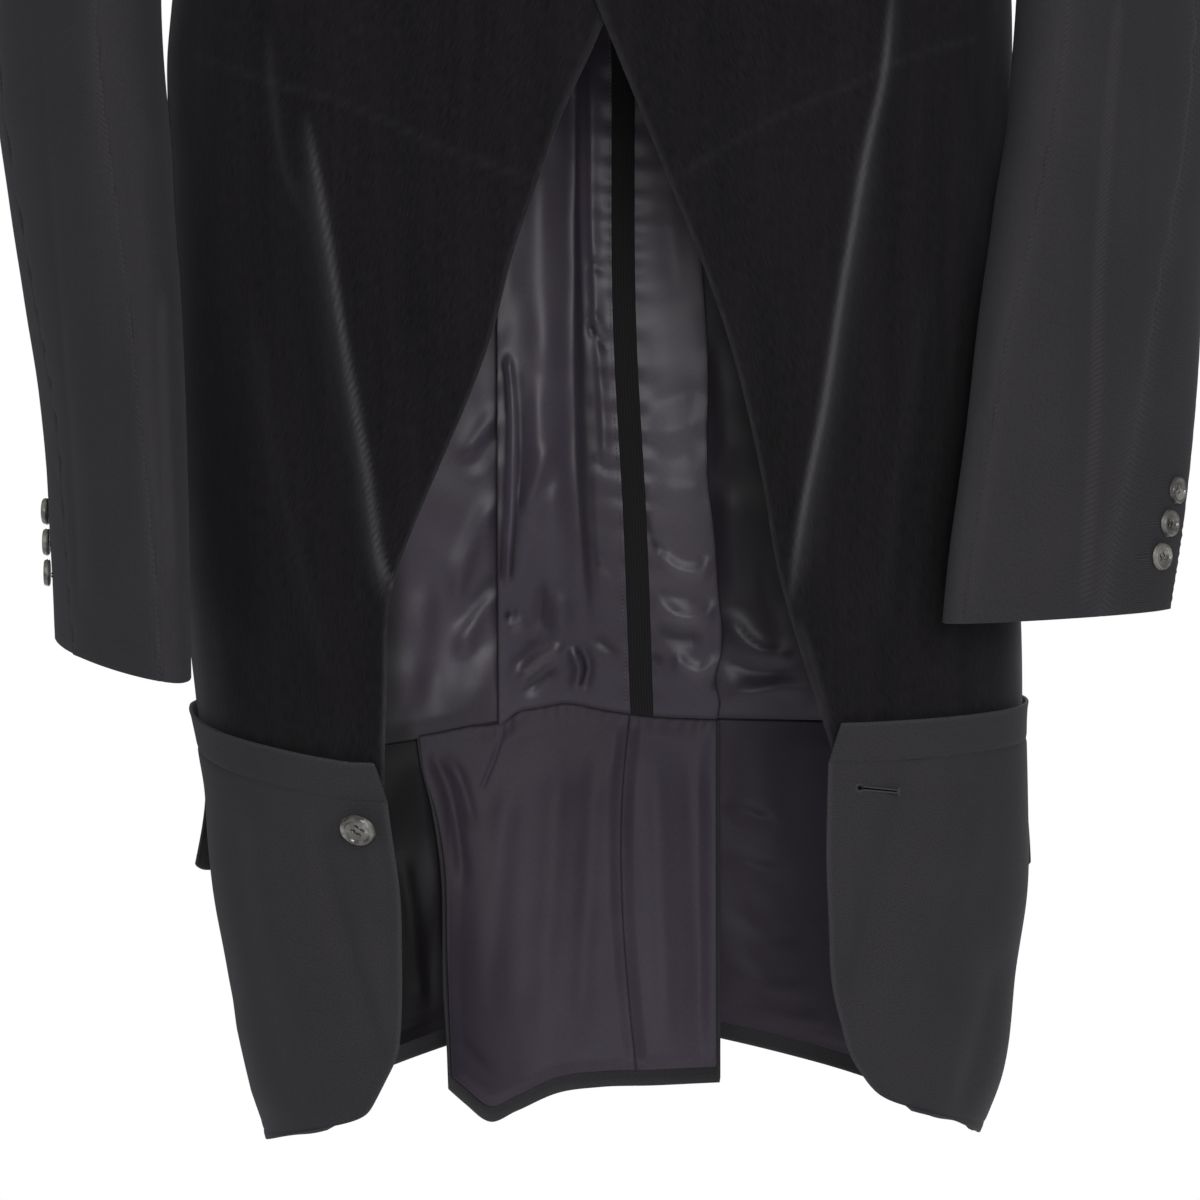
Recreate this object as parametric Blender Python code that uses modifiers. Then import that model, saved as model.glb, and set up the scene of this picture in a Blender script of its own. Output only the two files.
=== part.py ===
"""Long jacket with velvet fronts, a wool lower section and an open back skirt.

Lengths in the tables are millimetres. X runs to the wearer's left, Y to the back and Z up.
The origin is the centre of the neck at the level of the shoulder neck points.
Side +1 is the wearer's left and side -1 the wearer's right.
"""
import math

import bpy
import numpy as np

MM = 0.001

# Cloth and seams
WOOL = 1.8
SATIN = 1.0
SEAM = 0.3
POWER = 2.4

# Main lengths
UNDERARM_Z = -268.0
SIDE_SEAM_Y = 18.0
BAND_HEIGHT = 20.0
BAND_LEAN = 1.2
SLEEVE_POINTS = 32
FRONT_BUTTON = 20.0
CUFF_BUTTON = 15.0
CUFF_BUTTON_GAP = 17.5
CUFF_BUTTON_ANGLE = {1: -50.0, -1: -64.0}
CUFF_BUTTON_LIFT = {1: 0.0, -1: 0.9}
BUTTON_DROOP = 32.0
FLAP_DROP = 57.0
SKIRT_TOP = -710.8
LAP = 3.2


def table(names, rows):
    """Columns by name, with the rows sorted by the first column."""
    rows = sorted(rows)
    return {name: np.array([row[i] for row in rows], float) for i, name in enumerate(names.split())}


# Outside of the upper garment below the underarm: half widths, then depth before and behind
BODY = table("z left right front back", [
    (-268, 226, 220, 135, 121),
    (-340, 234, 223, 132, 117),
    (-420, 232, 221.5, 130, 114),
    (-500, 229.5, 222, 128, 115),
    (-600, 226.5, 226, 128, 120),
    (-660, 223.5, 230, 128.8, 126),
    (-690, 220, 229.8, 128.8, 127.4),
    (-711, 217.3, 230.2, 128.8, 127.6),
    (-740, 213.4, 230.8, 128.8, 127.6),
])

# Outside of the band and the lower section
SKIRT = table("z left right front back", [
    (-660, 226.1, 232.6, 131.4, 128.8),
    (-690, 222.6, 232.4, 131.4, 130.1),
    (-711, 219.9, 232.8, 131.4, 130.2),
    (-740, 216.0, 233.6, 131.2, 130.2),
    (-785, 212, 234, 129.5, 129),
    (-831, 205, 228.5, 128, 127.5),
    (-897, 191, 218.5, 125.5, 126),
    (-925, 184, 208, 124, 125),
    (-940, 180.5, 203.5, 123.5, 124.8),
])

# Front edge of the velvet, measured to the side from the centre
EDGE_LEFT = table("z x", [
    (-268, -17), (-280, -14), (-300, -8), (-320, 0), (-364, 18), (-417, 40), (-462, 58),
    (-502, 71), (-538, 80), (-573, 87), (-622, 96), (-658, 107), (-698, 120), (-716, 126),
])
EDGE_RIGHT = table("z x", [
    (-268, -16), (-280, -14), (-300, -10), (-317, -5), (-330, 0), (-373, 20), (-415, 35),
    (-457, 49), (-485, 56), (-538, 76), (-578, 94), (-600, 102), (-622, 109), (-636, 111.5),
    (-672, 112), (-721, 114), (-738, 114.5),
])

# Seam under the band, by side: height at the front edge, at the side and at the centre back
SEAM_LEVEL = {1: (-712.0, -708.0, -709.0), -1: (-733.0, -711.0, -709.0)}

# Fronts above the underarm: inner end and armhole end of each row
FRONT_TOP = [
    (-7, -133, -248, 209, -12, -262),
    (6, -131, -222, 201, -42, -236),
    (20, -126, -190, 193, -58, -198),
    (34, -118, -155, 190, -61, -158),
    (47, -105, -118, 194, -53, -118),
    (59, -82, -78, 204, -34, -82),
    (70, -42, -34, 215, -10, -56),
    (78, 5, 0, 222, 12, -48),
]

# Backs above the underarm: centre back or neck end and armhole end of each row
BACK_TOP = [
    (0, 122, -240, 208, 40, -260),
    (0, 121, -202, 202, 58, -232),
    (0, 116, -160, 198, 68, -196),
    (0, 106, -118, 198, 70, -158),
    (0, 90, -70, 201, 64, -120),
    (0, 64, -17, 208, 48, -84),
    (48, 46, -8, 216, 29, -58),
    (78, 5, 0, 222, 12, -48),
]

# How far the armhole is drawn out at the underarm, and each row's share of it
UNDERARM_OUT = {1: 10.0, -1: 16.0}
ARM_SHARE = (0.95, 0.7, 0.42, 0.2, 0.08, 0, 0, 0)

# Roundness of those rows, from the underarm to the shoulder
FRONT_BOW = (1, 1, 0.95, 0.9, 0.8, 0.55, 0.25, 0)
BACK_BOW = (0.85, 0.74, 0.72, 0.7, 0.65, 0.5, 0.25, 0)

# Lower fronts: front edge and side of each row, from the band seam to the hem
LOWER_LEFT = [
    (120.5, -712, -708),
    (119.6, -740, -738),
    (119.6, -768, -768),
    (121.0, -798, -798),
    (122.7, -828, -828),
    (127.5, -850, -858),
    (132.0, -866, -882),
    (139.0, -876.5, -901),
    (151.0, -887, -916),
    (172.0, -899, -928.5),
]
LOWER_RIGHT = [
    (112.3, -733, -711),
    (109.0, -757, -740),
    (105.6, -783, -770),
    (105.0, -809, -800),
    (105.0, -835, -831),
    (106.6, -862, -862),
    (110.0, -877, -885),
    (117.0, -894, -903),
    (129.0, -904, -919),
    (150.0, -911, -931.5),
]

# Side backs: distance of the vent edge from the centre and its height, by row
VENT = {1: (46.0, -888.0), -1: (64.0, -889.0)}

# Hem of the centre back skirt panel, with how far it curls to the front
SKIRT_HEM = table("x z curl", [
    (-86, -911, 42), (-76, -922, 30), (-63, -934, 19), (-48, -930, 9), (-25, -921, 3),
    (0, -918, 0), (30, -917, 0), (69, -914.5, 2),
])

# Soft folds: side, top and bottom of each fold on the front view, half width and height
FRONT_FOLDS = [
    (1, 154, -315, 125, -480, 16, 4.5),
    (1, 125, -480, 104, -596, 13, 4.0),
    (1, 104, -596, 108, -670, 12, 1.5),
    (-1, 151, -393, 126, -538, 16, 4.5),
    (-1, 126, -538, 110, -627, 12, 4.0),
    (-1, 110, -627, 111, -700, 9, 2.0),
]
LOWER_FOLDS = [
    (1, 170, -700, 138, -830, 11, -2.0),
    (1, 214, -800, 195, -920, 12, -2.0),
    (-1, 146, -757, 122, -870, 10, -2.2),
]

# Sleeves below the shoulder: height, centre, half depth, half thickness, turn and slant
SLEEVE_LEFT = [
    (-315, 286, -8, 88, 42, 35.5, 0),
    (-370, 278, -22, 86, 39, 39, 0),
    (-430, 269.5, -40, 81, 35, 44, 0),
    (-490, 261, -58, 78, 31, 51, 0),
    (-545, 254.5, -72, 74, 27, 57, 0),
    (-592, 247.5, -84, 71, 24, 61, 1),
    (-636, 241.5, -93, 69, 22, 63.4, 2),
]
SLEEVE_RIGHT = [
    (-315, 290, -2, 88, 42, 24, 0),
    (-370, 281, -12, 86, 39, 25, 0),
    (-430, 272, -26, 81, 36, 26, 0),
    (-490, 265, -40, 77, 32, 26.5, 0),
    (-545, 259.5, -52, 75, 28, 27, 1),
    (-600, 256.5, -62, 72, 25, 29.5, 4),
    (-660, 254.5, -70, 69, 22, 31.5, 9),
]
CAP_STEPS = (0.0, 0.1, 0.24, 0.42, 0.62, 0.82)

# Sleeve seams, counted in points round the sleeve from the outer middle towards the front
ELBOW_LINE = -1
FORE_SEAM = 6
HIND_SEAM = -7

# Lapel width by row of the front, from just over the closure to the notch
LAPEL_WIDTH = (10, 33, 54, 70, 82, 80)

# Collar from the centre back to the notch: neck edge, direction of the fall, stand, fall
COLLAR = [
    (0, 64, -17, 0.0, 0.62, -0.7, 40, 46),
    (26, 58, -13, 0.28, 0.6, -0.62, 39, 46),
    (48, 46, -7, 0.6, 0.42, -0.48, 35, 46),
    (66, 27, -2, 0.85, 0.2, -0.36, 30, 46),
    (78, 5, 1, 0.93, 0.0, -0.28, 26, 46),
    (75, -18, -14, 0.93, -0.2, -0.28, 21, 47),
    (70, -42, -33, 0.92, -0.26, -0.26, 15, 48),
    (64, -62, -54, 0.9, -0.32, -0.24, 10, 50),
]


def curve(xs, ys, x):
    """Smooth line through the knots, held at both ends."""
    slope = np.gradient(ys, xs)
    x = np.clip(np.asarray(x, float), xs[0], xs[-1])
    i = np.clip(np.searchsorted(xs, x) - 1, 0, len(xs) - 2)
    h = xs[i + 1] - xs[i]
    t = (x - xs[i]) / h
    a = (1 + 2 * t) * (1 - t) ** 2 * ys[i] + t * (1 - t) ** 2 * h * slope[i]
    b = t * t * (3 - 2 * t) * ys[i + 1] + t * t * (t - 1) * h * slope[i + 1]
    return a + b


def read(tab, name, at):
    key = next(iter(tab))
    return curve(tab[key], tab[name], at)


def half_width(tab, side, z):
    return np.where(np.asarray(side) > 0, read(tab, "right", z), read(tab, "left", z))


def ring(tab, side, turn, z):
    """Point on the outside: turn 0 is the centre front, 1 the side, 2 the centre back."""
    turn, z = np.broadcast_arrays(np.asarray(turn, float), np.asarray(z, float))
    angle = turn * np.pi / 2
    sine = np.sin(angle)
    cosine = np.cos(angle)
    x = side * half_width(tab, side, z) * np.sign(sine) * np.abs(sine) ** (2 / POWER)
    depth = np.where(cosine > 0, -read(tab, "front", z), read(tab, "back", z))
    y = depth * np.abs(cosine) ** (2 / POWER)
    return np.stack([x, y, z], axis=-1)


def unit(v):
    return v / np.maximum(np.linalg.norm(v, axis=-1, keepdims=True), 1e-9)


def skin(tab, side, turn, z, out=0.0):
    """Point moved out from the garment surface by a distance."""
    across = ring(tab, side, turn + 0.02, z) - ring(tab, side, turn - 0.02, z)
    up = ring(tab, side, turn, z + 2.0) - ring(tab, side, turn, z - 2.0)
    normal = unit(side * np.cross(across, up))
    return ring(tab, side, turn, z) + np.asarray(out)[..., None] * normal


def turn_at_x(tab, side, x, z):
    part = np.clip(np.abs(x) / half_width(tab, side, z), 0, 1)
    return np.sign(x) * np.arcsin(part ** (POWER / 2)) * 2 / np.pi


def turn_at_seam(tab, z):
    part = (SIDE_SEAM_Y / read(tab, "back", z)) ** (POWER / 2)
    return 1 + np.arcsin(part) * 2 / np.pi


def ridge(folds, side, x, z):
    """Height of the soft folds of one side, which run down the front."""
    total = np.zeros(np.broadcast(x, z).shape)
    for fold_side, x_top, z_top, x_low, z_low, width, height in folds:
        if fold_side != side:
            continue
        t = (z_top - z) / (z_top - z_low)
        middle = x_top + (x_low - x_top) * np.clip(t, 0, 1)
        ends = np.clip(0.5 + 6 * t, 0, 1) * np.clip(0.5 + 6 * (1 - t), 0, 1)
        total = total + height * ends * np.exp(-((np.abs(x) - middle) / width) ** 2)
    return total


def arc_row(side, row, columns, bow, share):
    """Row above the underarm, between a straight line (bow 0) and a quarter section (1)."""
    x_in, y_in, z_in, x_out, y_out, z_out = row
    x_out = x_out + UNDERARM_OUT[side] * share
    angle = np.linspace(0, np.pi / 2, columns)
    along = np.sin(angle) ** (2 / POWER)
    away = 1 - np.maximum(np.cos(angle), 0) ** (2 / POWER)
    x = side * (x_in + (x_out - x_in) * along)
    y = y_in + (y_out - y_in) * (bow * away + (1 - bow) * along)
    z = z_in + (z_out - z_in) * along
    return np.stack([x, y, z], axis=-1)


def seam_level(side, turn):
    edge, flank, behind = SEAM_LEVEL[side]
    return np.interp(turn, [0.36, 1.0, 2.0], [edge, flank, behind])


def front_net(side, columns=10, rows=14):
    """Velvet front from the band seam to the shoulder."""
    edge = EDGE_LEFT if side > 0 else EDGE_RIGHT
    net = []
    for k in range(rows):
        t = k / (rows - 1)
        z_edge = SEAM_LEVEL[side][0] * (1 - t) + UNDERARM_Z * t
        z_side = SEAM_LEVEL[side][1] * (1 - t) + UNDERARM_Z * t
        x_edge = read(edge, "x", z_edge)
        start = turn_at_x(BODY, side, x_edge, z_edge)
        stop = turn_at_seam(BODY, z_side)
        u = np.linspace(0, 1, columns)
        turn = start + (stop - start) * u
        z = seam_level(side, turn) * (1 - t) + UNDERARM_Z * t
        x = ring(BODY, side, turn, z)[:, 0] * side
        out = ridge(FRONT_FOLDS, side, x, z)
        if side > 0:
            out = out + LAP * np.clip((90 - x) / 50, 0, 1) * np.clip((z + 420) / 90, 0, 1)
        net.append(skin(BODY, side, turn, z, out))
    for i, row in enumerate(FRONT_TOP):
        line = arc_row(side, row, columns, FRONT_BOW[i], ARM_SHARE[i])
        if side > 0 and i < 2:
            lap = np.clip((90 - line[:, 0]) / 50, 0, 1) * LAP * (1 - 0.1 * i)
            line[:, 1] -= lap
        net.append(line)
    return np.array(net)


def back_net(side, columns=10, rows=12):
    """Upper back from the band seam to the shoulder and neck, from the seam to the middle."""
    net = []
    for k in range(rows):
        t = k / (rows - 1)
        u = np.linspace(0, 1, columns)
        z = SEAM_LEVEL[side][2] * (1 - t) + UNDERARM_Z * t
        turn = turn_at_seam(BODY, z) * (1 - u) + 2 * u
        level = seam_level(side, turn) * (1 - t) + UNDERARM_Z * t
        net.append(skin(BODY, side, turn, level))
    for i, row in enumerate(BACK_TOP):
        net.append(arc_row(side, row, columns, BACK_BOW[i], ARM_SHARE[i])[::-1])
    return np.array(net)


def normals(grid, side):
    """Outward normals of a grid whose columns run from front to back and rows upwards."""
    across = np.gradient(grid, axis=1, edge_order=2)
    up = np.gradient(grid, axis=0, edge_order=2)
    return unit(side * np.cross(across, up))


def tuck(grid, first=0.0, last=0.0, low=0.0, high=0.0):
    """Draw the edges of a grid in by a short distance, to leave the seam gap."""
    g = grid.copy()
    g[:, 0] += first * unit(grid[:, 1] - grid[:, 0])
    g[:, -1] += last * unit(grid[:, -2] - grid[:, -1])
    g[0] += low * unit(grid[1] - grid[0])
    g[-1] += high * unit(grid[-2] - grid[-1])
    return g


def behind(tab, x, z, inset):
    """Point on the back by its signed distance from the middle."""
    half = half_width(tab, x, z)
    y = read(tab, "back", z) * (1 - np.minimum(np.abs(x) / half, 1) ** POWER) ** (1 / POWER)
    return np.stack(np.broadcast_arrays(x, y - inset, z), axis=-1)


def spaced(line, distances):
    """Points along a row at the given distances from its first point."""
    step = np.linalg.norm(np.diff(line, axis=0), axis=1)
    length = np.concatenate([[0], np.cumsum(step)])
    return np.stack([np.interp(distances, length, line[:, i]) for i in range(3)], axis=-1)


def material(name, colour, rough):
    mat = bpy.data.materials.new(name)
    mat.use_nodes = True
    shader = mat.node_tree.nodes["Principled BSDF"]
    shader.inputs["Base Color"].default_value = (*colour, 1.0)
    shader.inputs["Roughness"].default_value = rough
    return mat


LOOKS = {
    "velvet": ((0.010, 0.010, 0.012), 0.9),
    "wool": ((0.030, 0.030, 0.032), 0.85),
    "satin": ((0.052, 0.048, 0.060), 0.4),
    "tape": ((0.008, 0.008, 0.009), 0.8),
    "horn": ((0.060, 0.060, 0.066), 0.25),
}


def add(name, mesh, look, home):
    obj = bpy.data.objects.new(name, mesh)
    colour, rough = LOOKS[look]
    mesh.materials.append(material(name, colour, rough))
    home.objects.link(obj)
    return obj


def wall(name, outer, inner, look, home, turned):
    """Closed cloth wall between an outer and an inner grid of the same size."""
    rows, columns = outer.shape[:2]
    count = rows * columns
    points = np.concatenate([outer.reshape(-1, 3), inner.reshape(-1, 3)]) * MM

    def at(r, c, layer):
        return layer * count + r * columns + c

    faces = []
    for r in range(rows - 1):
        for c in range(columns - 1):
            faces.append((at(r, c, 0), at(r, c + 1, 0), at(r + 1, c + 1, 0), at(r + 1, c, 0)))
            faces.append((at(r, c, 1), at(r + 1, c, 1), at(r + 1, c + 1, 1), at(r, c + 1, 1)))
    for c in range(columns - 1):
        faces.append((at(0, c, 0), at(0, c, 1), at(0, c + 1, 1), at(0, c + 1, 0)))
        last = rows - 1
        faces.append((at(last, c, 0), at(last, c + 1, 0), at(last, c + 1, 1), at(last, c, 1)))
    for r in range(rows - 1):
        faces.append((at(r, 0, 0), at(r + 1, 0, 0), at(r + 1, 0, 1), at(r, 0, 1)))
        last = columns - 1
        faces.append((at(r, last, 0), at(r, last, 1), at(r + 1, last, 1), at(r + 1, last, 0)))
    if turned:
        faces = [face[::-1] for face in faces]
    mesh = bpy.data.meshes.new(name)
    mesh.from_pydata(points.tolist(), [], faces)
    mesh.update()
    return add(name, mesh, look, home)


def cloth(name, grid, side, thick, look, home, gaps=(0, 0, 0, 0), rim=None):
    """Wall from an outer grid; side is the sign that turns its normals outwards."""
    normal = normals(grid, side)
    if rim is not None:
        normal = rim(normal)
    first, last, low, high = gaps
    outer = tuck(grid, first, last, low, high)
    inner = tuck(grid - thick * normal, first, last, low, high)
    return wall(name, outer, inner, look, home, side < 0)


def button(name, size, centre, normal, home):
    """Turned button with a raised rim, lying on the cloth."""
    r = size / 2
    profile = [
        (0, 0), (r - 1.0, 0), (r, 1.0), (r, 2.2), (r - 0.9, 3.2),
        (r - 2.2, 3.2), (r - 3.4, 2.4), (0, 2.2),
    ]
    mesh = bpy.data.meshes.new(name)
    points = [(a * MM, 0, b * MM) for a, b in profile]
    edges = [(i, i + 1) for i in range(len(points) - 1)]
    mesh.from_pydata(points, edges, [])
    mesh.update()
    obj = add(name, mesh, "horn", home)
    screw = obj.modifiers.new("turn", "SCREW")
    screw.axis = "Z"
    screw.angle = math.tau
    screw.steps = 18
    screw.render_steps = 18
    screw.use_merge_vertices = True
    screw.merge_threshold = 0.0001
    screw.use_normal_calculate = True
    axis = np.asarray(normal, float)
    axis = axis / np.linalg.norm(axis)
    level = math.asin(max(-1.0, min(1.0, axis[2])))
    heading = math.atan2(axis[1], axis[0])
    obj.rotation_euler = (0, math.pi / 2 - level, heading)
    obj.location = tuple((np.asarray(centre) + axis * SEAM) * MM)
    return obj


def arm_rim(front, back, low_front, low_back):
    """Armhole edge from the shoulder point down the front and up the back."""
    before = front[low_front:, -1][::-1]
    after = back[low_back + 1:-1, 0]
    return np.concatenate([before, after])


def between(points):
    """The same closed line with the middle of each length added."""
    middle = (points + np.roll(points, -1, axis=0)) / 2
    return np.stack([points, middle], axis=1).reshape(-1, 3)


def sleeve_ring(side, row):
    z, x, y, deep, thin, twist, slant = row
    phi = np.arange(SLEEVE_POINTS) * 2 * np.pi / SLEEVE_POINTS
    t = math.radians(twist)
    ahead = np.array([-side * math.sin(t), -math.cos(t), 0])
    aside = np.array([side * math.cos(t), -math.sin(t), 0])
    centre = np.array([side * x, y, z])
    ring_points = centre + deep * np.sin(phi)[:, None] * ahead + thin * np.cos(phi)[:, None] * aside
    ring_points[:, 2] -= slant * np.sin(phi)
    return ring_points


def sleeve_net(side, rim):
    rows = SLEEVE_LEFT if side > 0 else SLEEVE_RIGHT
    upper_arm = sleeve_ring(side, rows[0])
    phi = np.arange(SLEEVE_POINTS) * 2 * np.pi / SLEEVE_POINTS
    top = ((1 + np.cos(phi)) / 2)[:, None]
    reach = 0.86 - 0.1 * top
    bend = rim + reach * (upper_arm - rim)
    bend[:, 2] = rim[:, 2] + 0.12 * (upper_arm[:, 2] - rim[:, 2])
    net = []
    for t in CAP_STEPS:
        net.append((1 - t) ** 2 * rim + 2 * t * (1 - t) * bend + t * t * upper_arm)
    for row in rows:
        net.append(sleeve_ring(side, row))
    net = np.array(net)
    for _ in range(2):
        net[1:9] = (net[0:8] + 2 * net[1:9] + net[2:10]) / 4
    net[0] += (SEAM + 0.25) * unit(net[1] - net[0])
    return net


def sleeve_normals(net, side):
    across = (np.roll(net, -1, axis=1) - np.roll(net, 1, axis=1)) / 2
    down = np.gradient(net, axis=0, edge_order=2)
    return unit(side * np.cross(across, down))


def mitre(body, arm):
    """Shared direction of two cloths at their seam, lengthened to keep the thickness."""
    both = unit(body + arm)
    share = np.clip((both * body).sum(axis=-1, keepdims=True), 0.62, 1)
    return both / share


def sleeves(side, front, back, low_front, low_back, home):
    """Sleeve panels, and the directions that the body uses round its armhole."""
    word = "left" if side > 0 else "right"
    rim = between(arm_rim(front, back, low_front, low_back))
    net = sleeve_net(side, rim)
    normal = sleeve_normals(net, side)
    front_normal = normals(front, side)[low_front:, -1][::-1]
    back_normal = normals(back, side)[low_back + 1:-1, 0]
    body_normal = np.concatenate([front_normal, back_normal])
    body_normal[0] = unit(front_normal[0] + normals(back, side)[-1, 0])
    body_normal = unit(between(body_normal))
    shared = between(mitre(body_normal, normal[0])[::2])
    normal[0] = shared
    inner = net - WOOL * normal
    panels = [
        ("front", ELBOW_LINE, FORE_SEAM),
        ("elbow", HIND_SEAM, ELBOW_LINE),
        ("under", FORE_SEAM, SLEEVE_POINTS + HIND_SEAM),
    ]
    for label, start, stop in panels:
        pick = np.arange(start, stop + 1) % SLEEVE_POINTS
        outer_part = tuck(net[:, pick], SEAM / 2, SEAM / 2)
        inner_part = tuck(inner[:, pick], SEAM / 2, SEAM / 2)
        wall(f"sleeve_{label}_{word}", outer_part, inner_part, "wool", home, side < 0)
    return shared[::2]


def add_fronts(side, home):
    """Velvet front, upper back, sleeve and lapel of one side."""
    word = "left" if side > 0 else "right"
    front = front_net(side)
    back = back_net(side)
    low_front = len(front) - 1 - len(FRONT_TOP)
    low_back = len(back) - 1 - len(BACK_TOP)
    shared = sleeves(side, front, back, low_front, low_back, home)
    count = len(FRONT_TOP) + 1
    half = SEAM / 2
    shoulder = mitre(normals(front, side)[-1], normals(back, side)[-1, ::-1])

    def front_rim(normal):
        normal = normal.copy()
        normal[-1] = shoulder
        normal[low_front:, -1] = shared[:count][::-1]
        return normal

    def back_rim(normal):
        normal = normal.copy()
        normal[-1] = shoulder[::-1]
        normal[low_back + 1:-1, 0] = shared[count:]
        normal[low_back, 0] = shared[count - 1]
        normal[-1, 0] = shared[0]
        normal[:-2, -1, 0] = 0
        return normal

    cloth(f"velvet_front_{word}", front, side, WOOL, "velvet", home, (0, half, half, half), front_rim)
    cloth(f"upper_back_{word}", back, side, WOOL, "wool", home, (half, half, half, half), back_rim)

    lapel = []
    outward = normals(front, side)
    lifted = front + (1.2 + WOOL) * outward
    for i, width in enumerate(LAPEL_WIDTH):
        if side < 0 and i == 0:
            continue
        row = lifted[low_front + 1 + i]
        lapel.append(spaced(row, np.linspace(0, width, 6)))
    cloth(f"lapel_{word}", np.array(lapel), side, WOOL, "velvet", home)
    return front, back


def add_collar(home):
    knots = np.arange(len(COLLAR), dtype=float)
    steps = np.linspace(0, len(COLLAR) - 1, 12)
    half = [[float(curve(knots, np.array(col, float), k)) for col in zip(*COLLAR)] for k in steps]
    rows = [(-x, y, z, -a, b, c, stand, fall) for x, y, z, a, b, c, stand, fall in half[:0:-1]]
    grid = []
    for x, y, z, a, b, c, stand, fall in rows + half:
        base = np.array([x, y, z], float)
        down = unit(np.array([a, b, c], float))
        out = unit(np.array([a, b, 0], float))
        up = unit(np.array([-0.18 * out[0], -0.18 * out[1], 1]))
        lift = unit(np.cross(np.cross(down, [0, 0, 1.0]), down))
        end = base + down * fall + lift * 3.6
        start = base + up * (stand - 3.2) + out * 6.0
        middle = (start + end) / 2 + lift * 2.2
        grid.append([
            base + up * 0.6,
            base + up * stand * 0.5,
            base + up * (stand - 2.6),
            base + up * stand + out * 2.8,
            start,
            middle,
            end,
        ])
    grid = np.array(grid).transpose(1, 0, 2)
    cloth("collar", grid, 1, WOOL, "wool", home)


def add_band(home):
    heights = np.array([0.15, 7.0, 14.0, BAND_HEIGHT])
    ends = {1: (120.6, 127.0), -1: (112.3, 117.2)}

    def strip(side, turn_start, turn_stop, columns):
        rows = []
        for h in heights:
            t = h / BAND_HEIGHT
            first = turn_start(t)
            turn = np.linspace(first, turn_stop, columns)
            z = seam_level(side, turn) + h
            rows.append(skin(SKIRT, side, turn, z, BAND_LEAN * t ** 1.5 + 0 * z))
        return np.array(rows)

    backs = {}
    for side, word in ((1, "left"), (-1, "right")):
        low, high = ends[side]
        level = SEAM_LEVEL[side][0]
        join = float(turn_at_seam(SKIRT, -700.0))

        def front_start(t, side=side, low=low, high=high, level=level):
            return float(turn_at_x(SKIRT, side, low + (high - low) * t, level))

        grid = strip(side, front_start, join, 11)
        cloth(f"band_front_{word}", grid, side, WOOL, "wool", home, (0, SEAM / 2, 0, 0))
        backs[side] = strip(side, lambda t, join=join: join, 2.0, 10)
    whole = np.concatenate([backs[1], backs[-1][:, -2::-1]], axis=1)
    cloth("band_back", whole, 1, WOOL, "wool", home, (SEAM / 2, SEAM / 2, 0, 0))


def lower_front_net(side, columns=10):
    rows = LOWER_LEFT if side > 0 else LOWER_RIGHT
    net = []
    for k, (x_edge, z_edge, z_side) in enumerate(rows):
        t = k / (len(rows) - 1)
        start = turn_at_x(SKIRT, side, x_edge, z_edge)
        stop = turn_at_seam(SKIRT, z_side)
        u = np.linspace(0, 1, columns)
        turn = start + (stop - start) * u
        z = z_edge + (z_side - z_edge) * u
        z = z + (seam_level(side, turn) - rows[0][1] - (rows[0][2] - rows[0][1]) * u) * (1 - t)
        x = ring(SKIRT, side, turn, z)[:, 0]
        net.append(skin(SKIRT, side, turn, z, ridge(LOWER_FOLDS, side, x, z)))
    return np.array(net)[::-1]


def side_back_net(side, columns=9, inset=0.0, short=0.0, vent_gap=0.0):
    rows = LOWER_LEFT if side > 0 else LOWER_RIGHT
    vent_x, vent_z = VENT[side]
    net = []
    top = rows[0][2]
    for x_edge, z_edge, z_side in rows:
        t = (z_side - top) / (rows[-1][2] - top)
        start = turn_at_seam(SKIRT, z_side)
        z_vent = SEAM_LEVEL[side][2] * (1 - t) + vent_z * t
        stop = 2 - turn_at_x(SKIRT, side, vent_x + vent_gap, z_vent)
        u = np.linspace(0, 1, columns)
        turn = start + (stop - start) * u
        hem = rows[-1][2] + short + (vent_z - rows[-1][2]) * u ** 1.5
        z = seam_level(side, turn) * (1 - t) + hem * t
        net.append(skin(SKIRT, side, turn, z, -inset + 0 * z))
    return np.array(net)[::-1]


def add_lower(side, home):
    """Lower front, side back with its lining, and pocket flap of one side."""
    word = "left" if side > 0 else "right"
    half = SEAM / 2
    front = lower_front_net(side)
    cloth(f"lower_front_{word}", front, side, WOOL, "wool", home, (0, half, 0, SEAM))
    rear = side_back_net(side)
    cloth(f"side_back_{word}", rear, side, WOOL, "wool", home, (half, 0, 0, SEAM))
    rear = side_back_net(side, inset=WOOL + 0.8, short=9.0, vent_gap=3.0)
    cloth(f"side_back_lining_{word}", rear, side, SATIN, "satin", home, (half, 0, 0, 1.0))

    flare = 2.4 if side > 0 else 10.0
    start = float(turn_at_seam(SKIRT, -740.0)) + 0.02
    rows = []
    for t in (1.0, 0.93, 0.75, 0.5, 0.25, 0.0):
        u = np.linspace(0, 1, 9)
        turn = start + 0.62 * u
        corner = np.abs(2 * u - 1) ** 6
        z = -729 - FLAP_DROP * t * (1 - 0.1 * corner * t)
        out = 1.2 + WOOL + flare * t ** 1.5
        rows.append(skin(SKIRT, side, turn, z, out + 0 * z))
    cloth(f"pocket_flap_{word}", np.array(rows), side, WOOL, "wool", home)


SKIRT_SEAM = table("z x", [(-920, 21), (-870, 16), (-815, 12.5), (-760, 12.5), (-709, 17)])
SKIRT_SIDE = table("z x", [(-920, -85), (-860, -88), (-790, -91), (-760, -96), (-735, -102), (-709, -105)])
SKIRT_INSET = table("z inset", [(-920, 20), (-850, 15), (-790, 10), (-740, 6), (-709, 4.4)])


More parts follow.
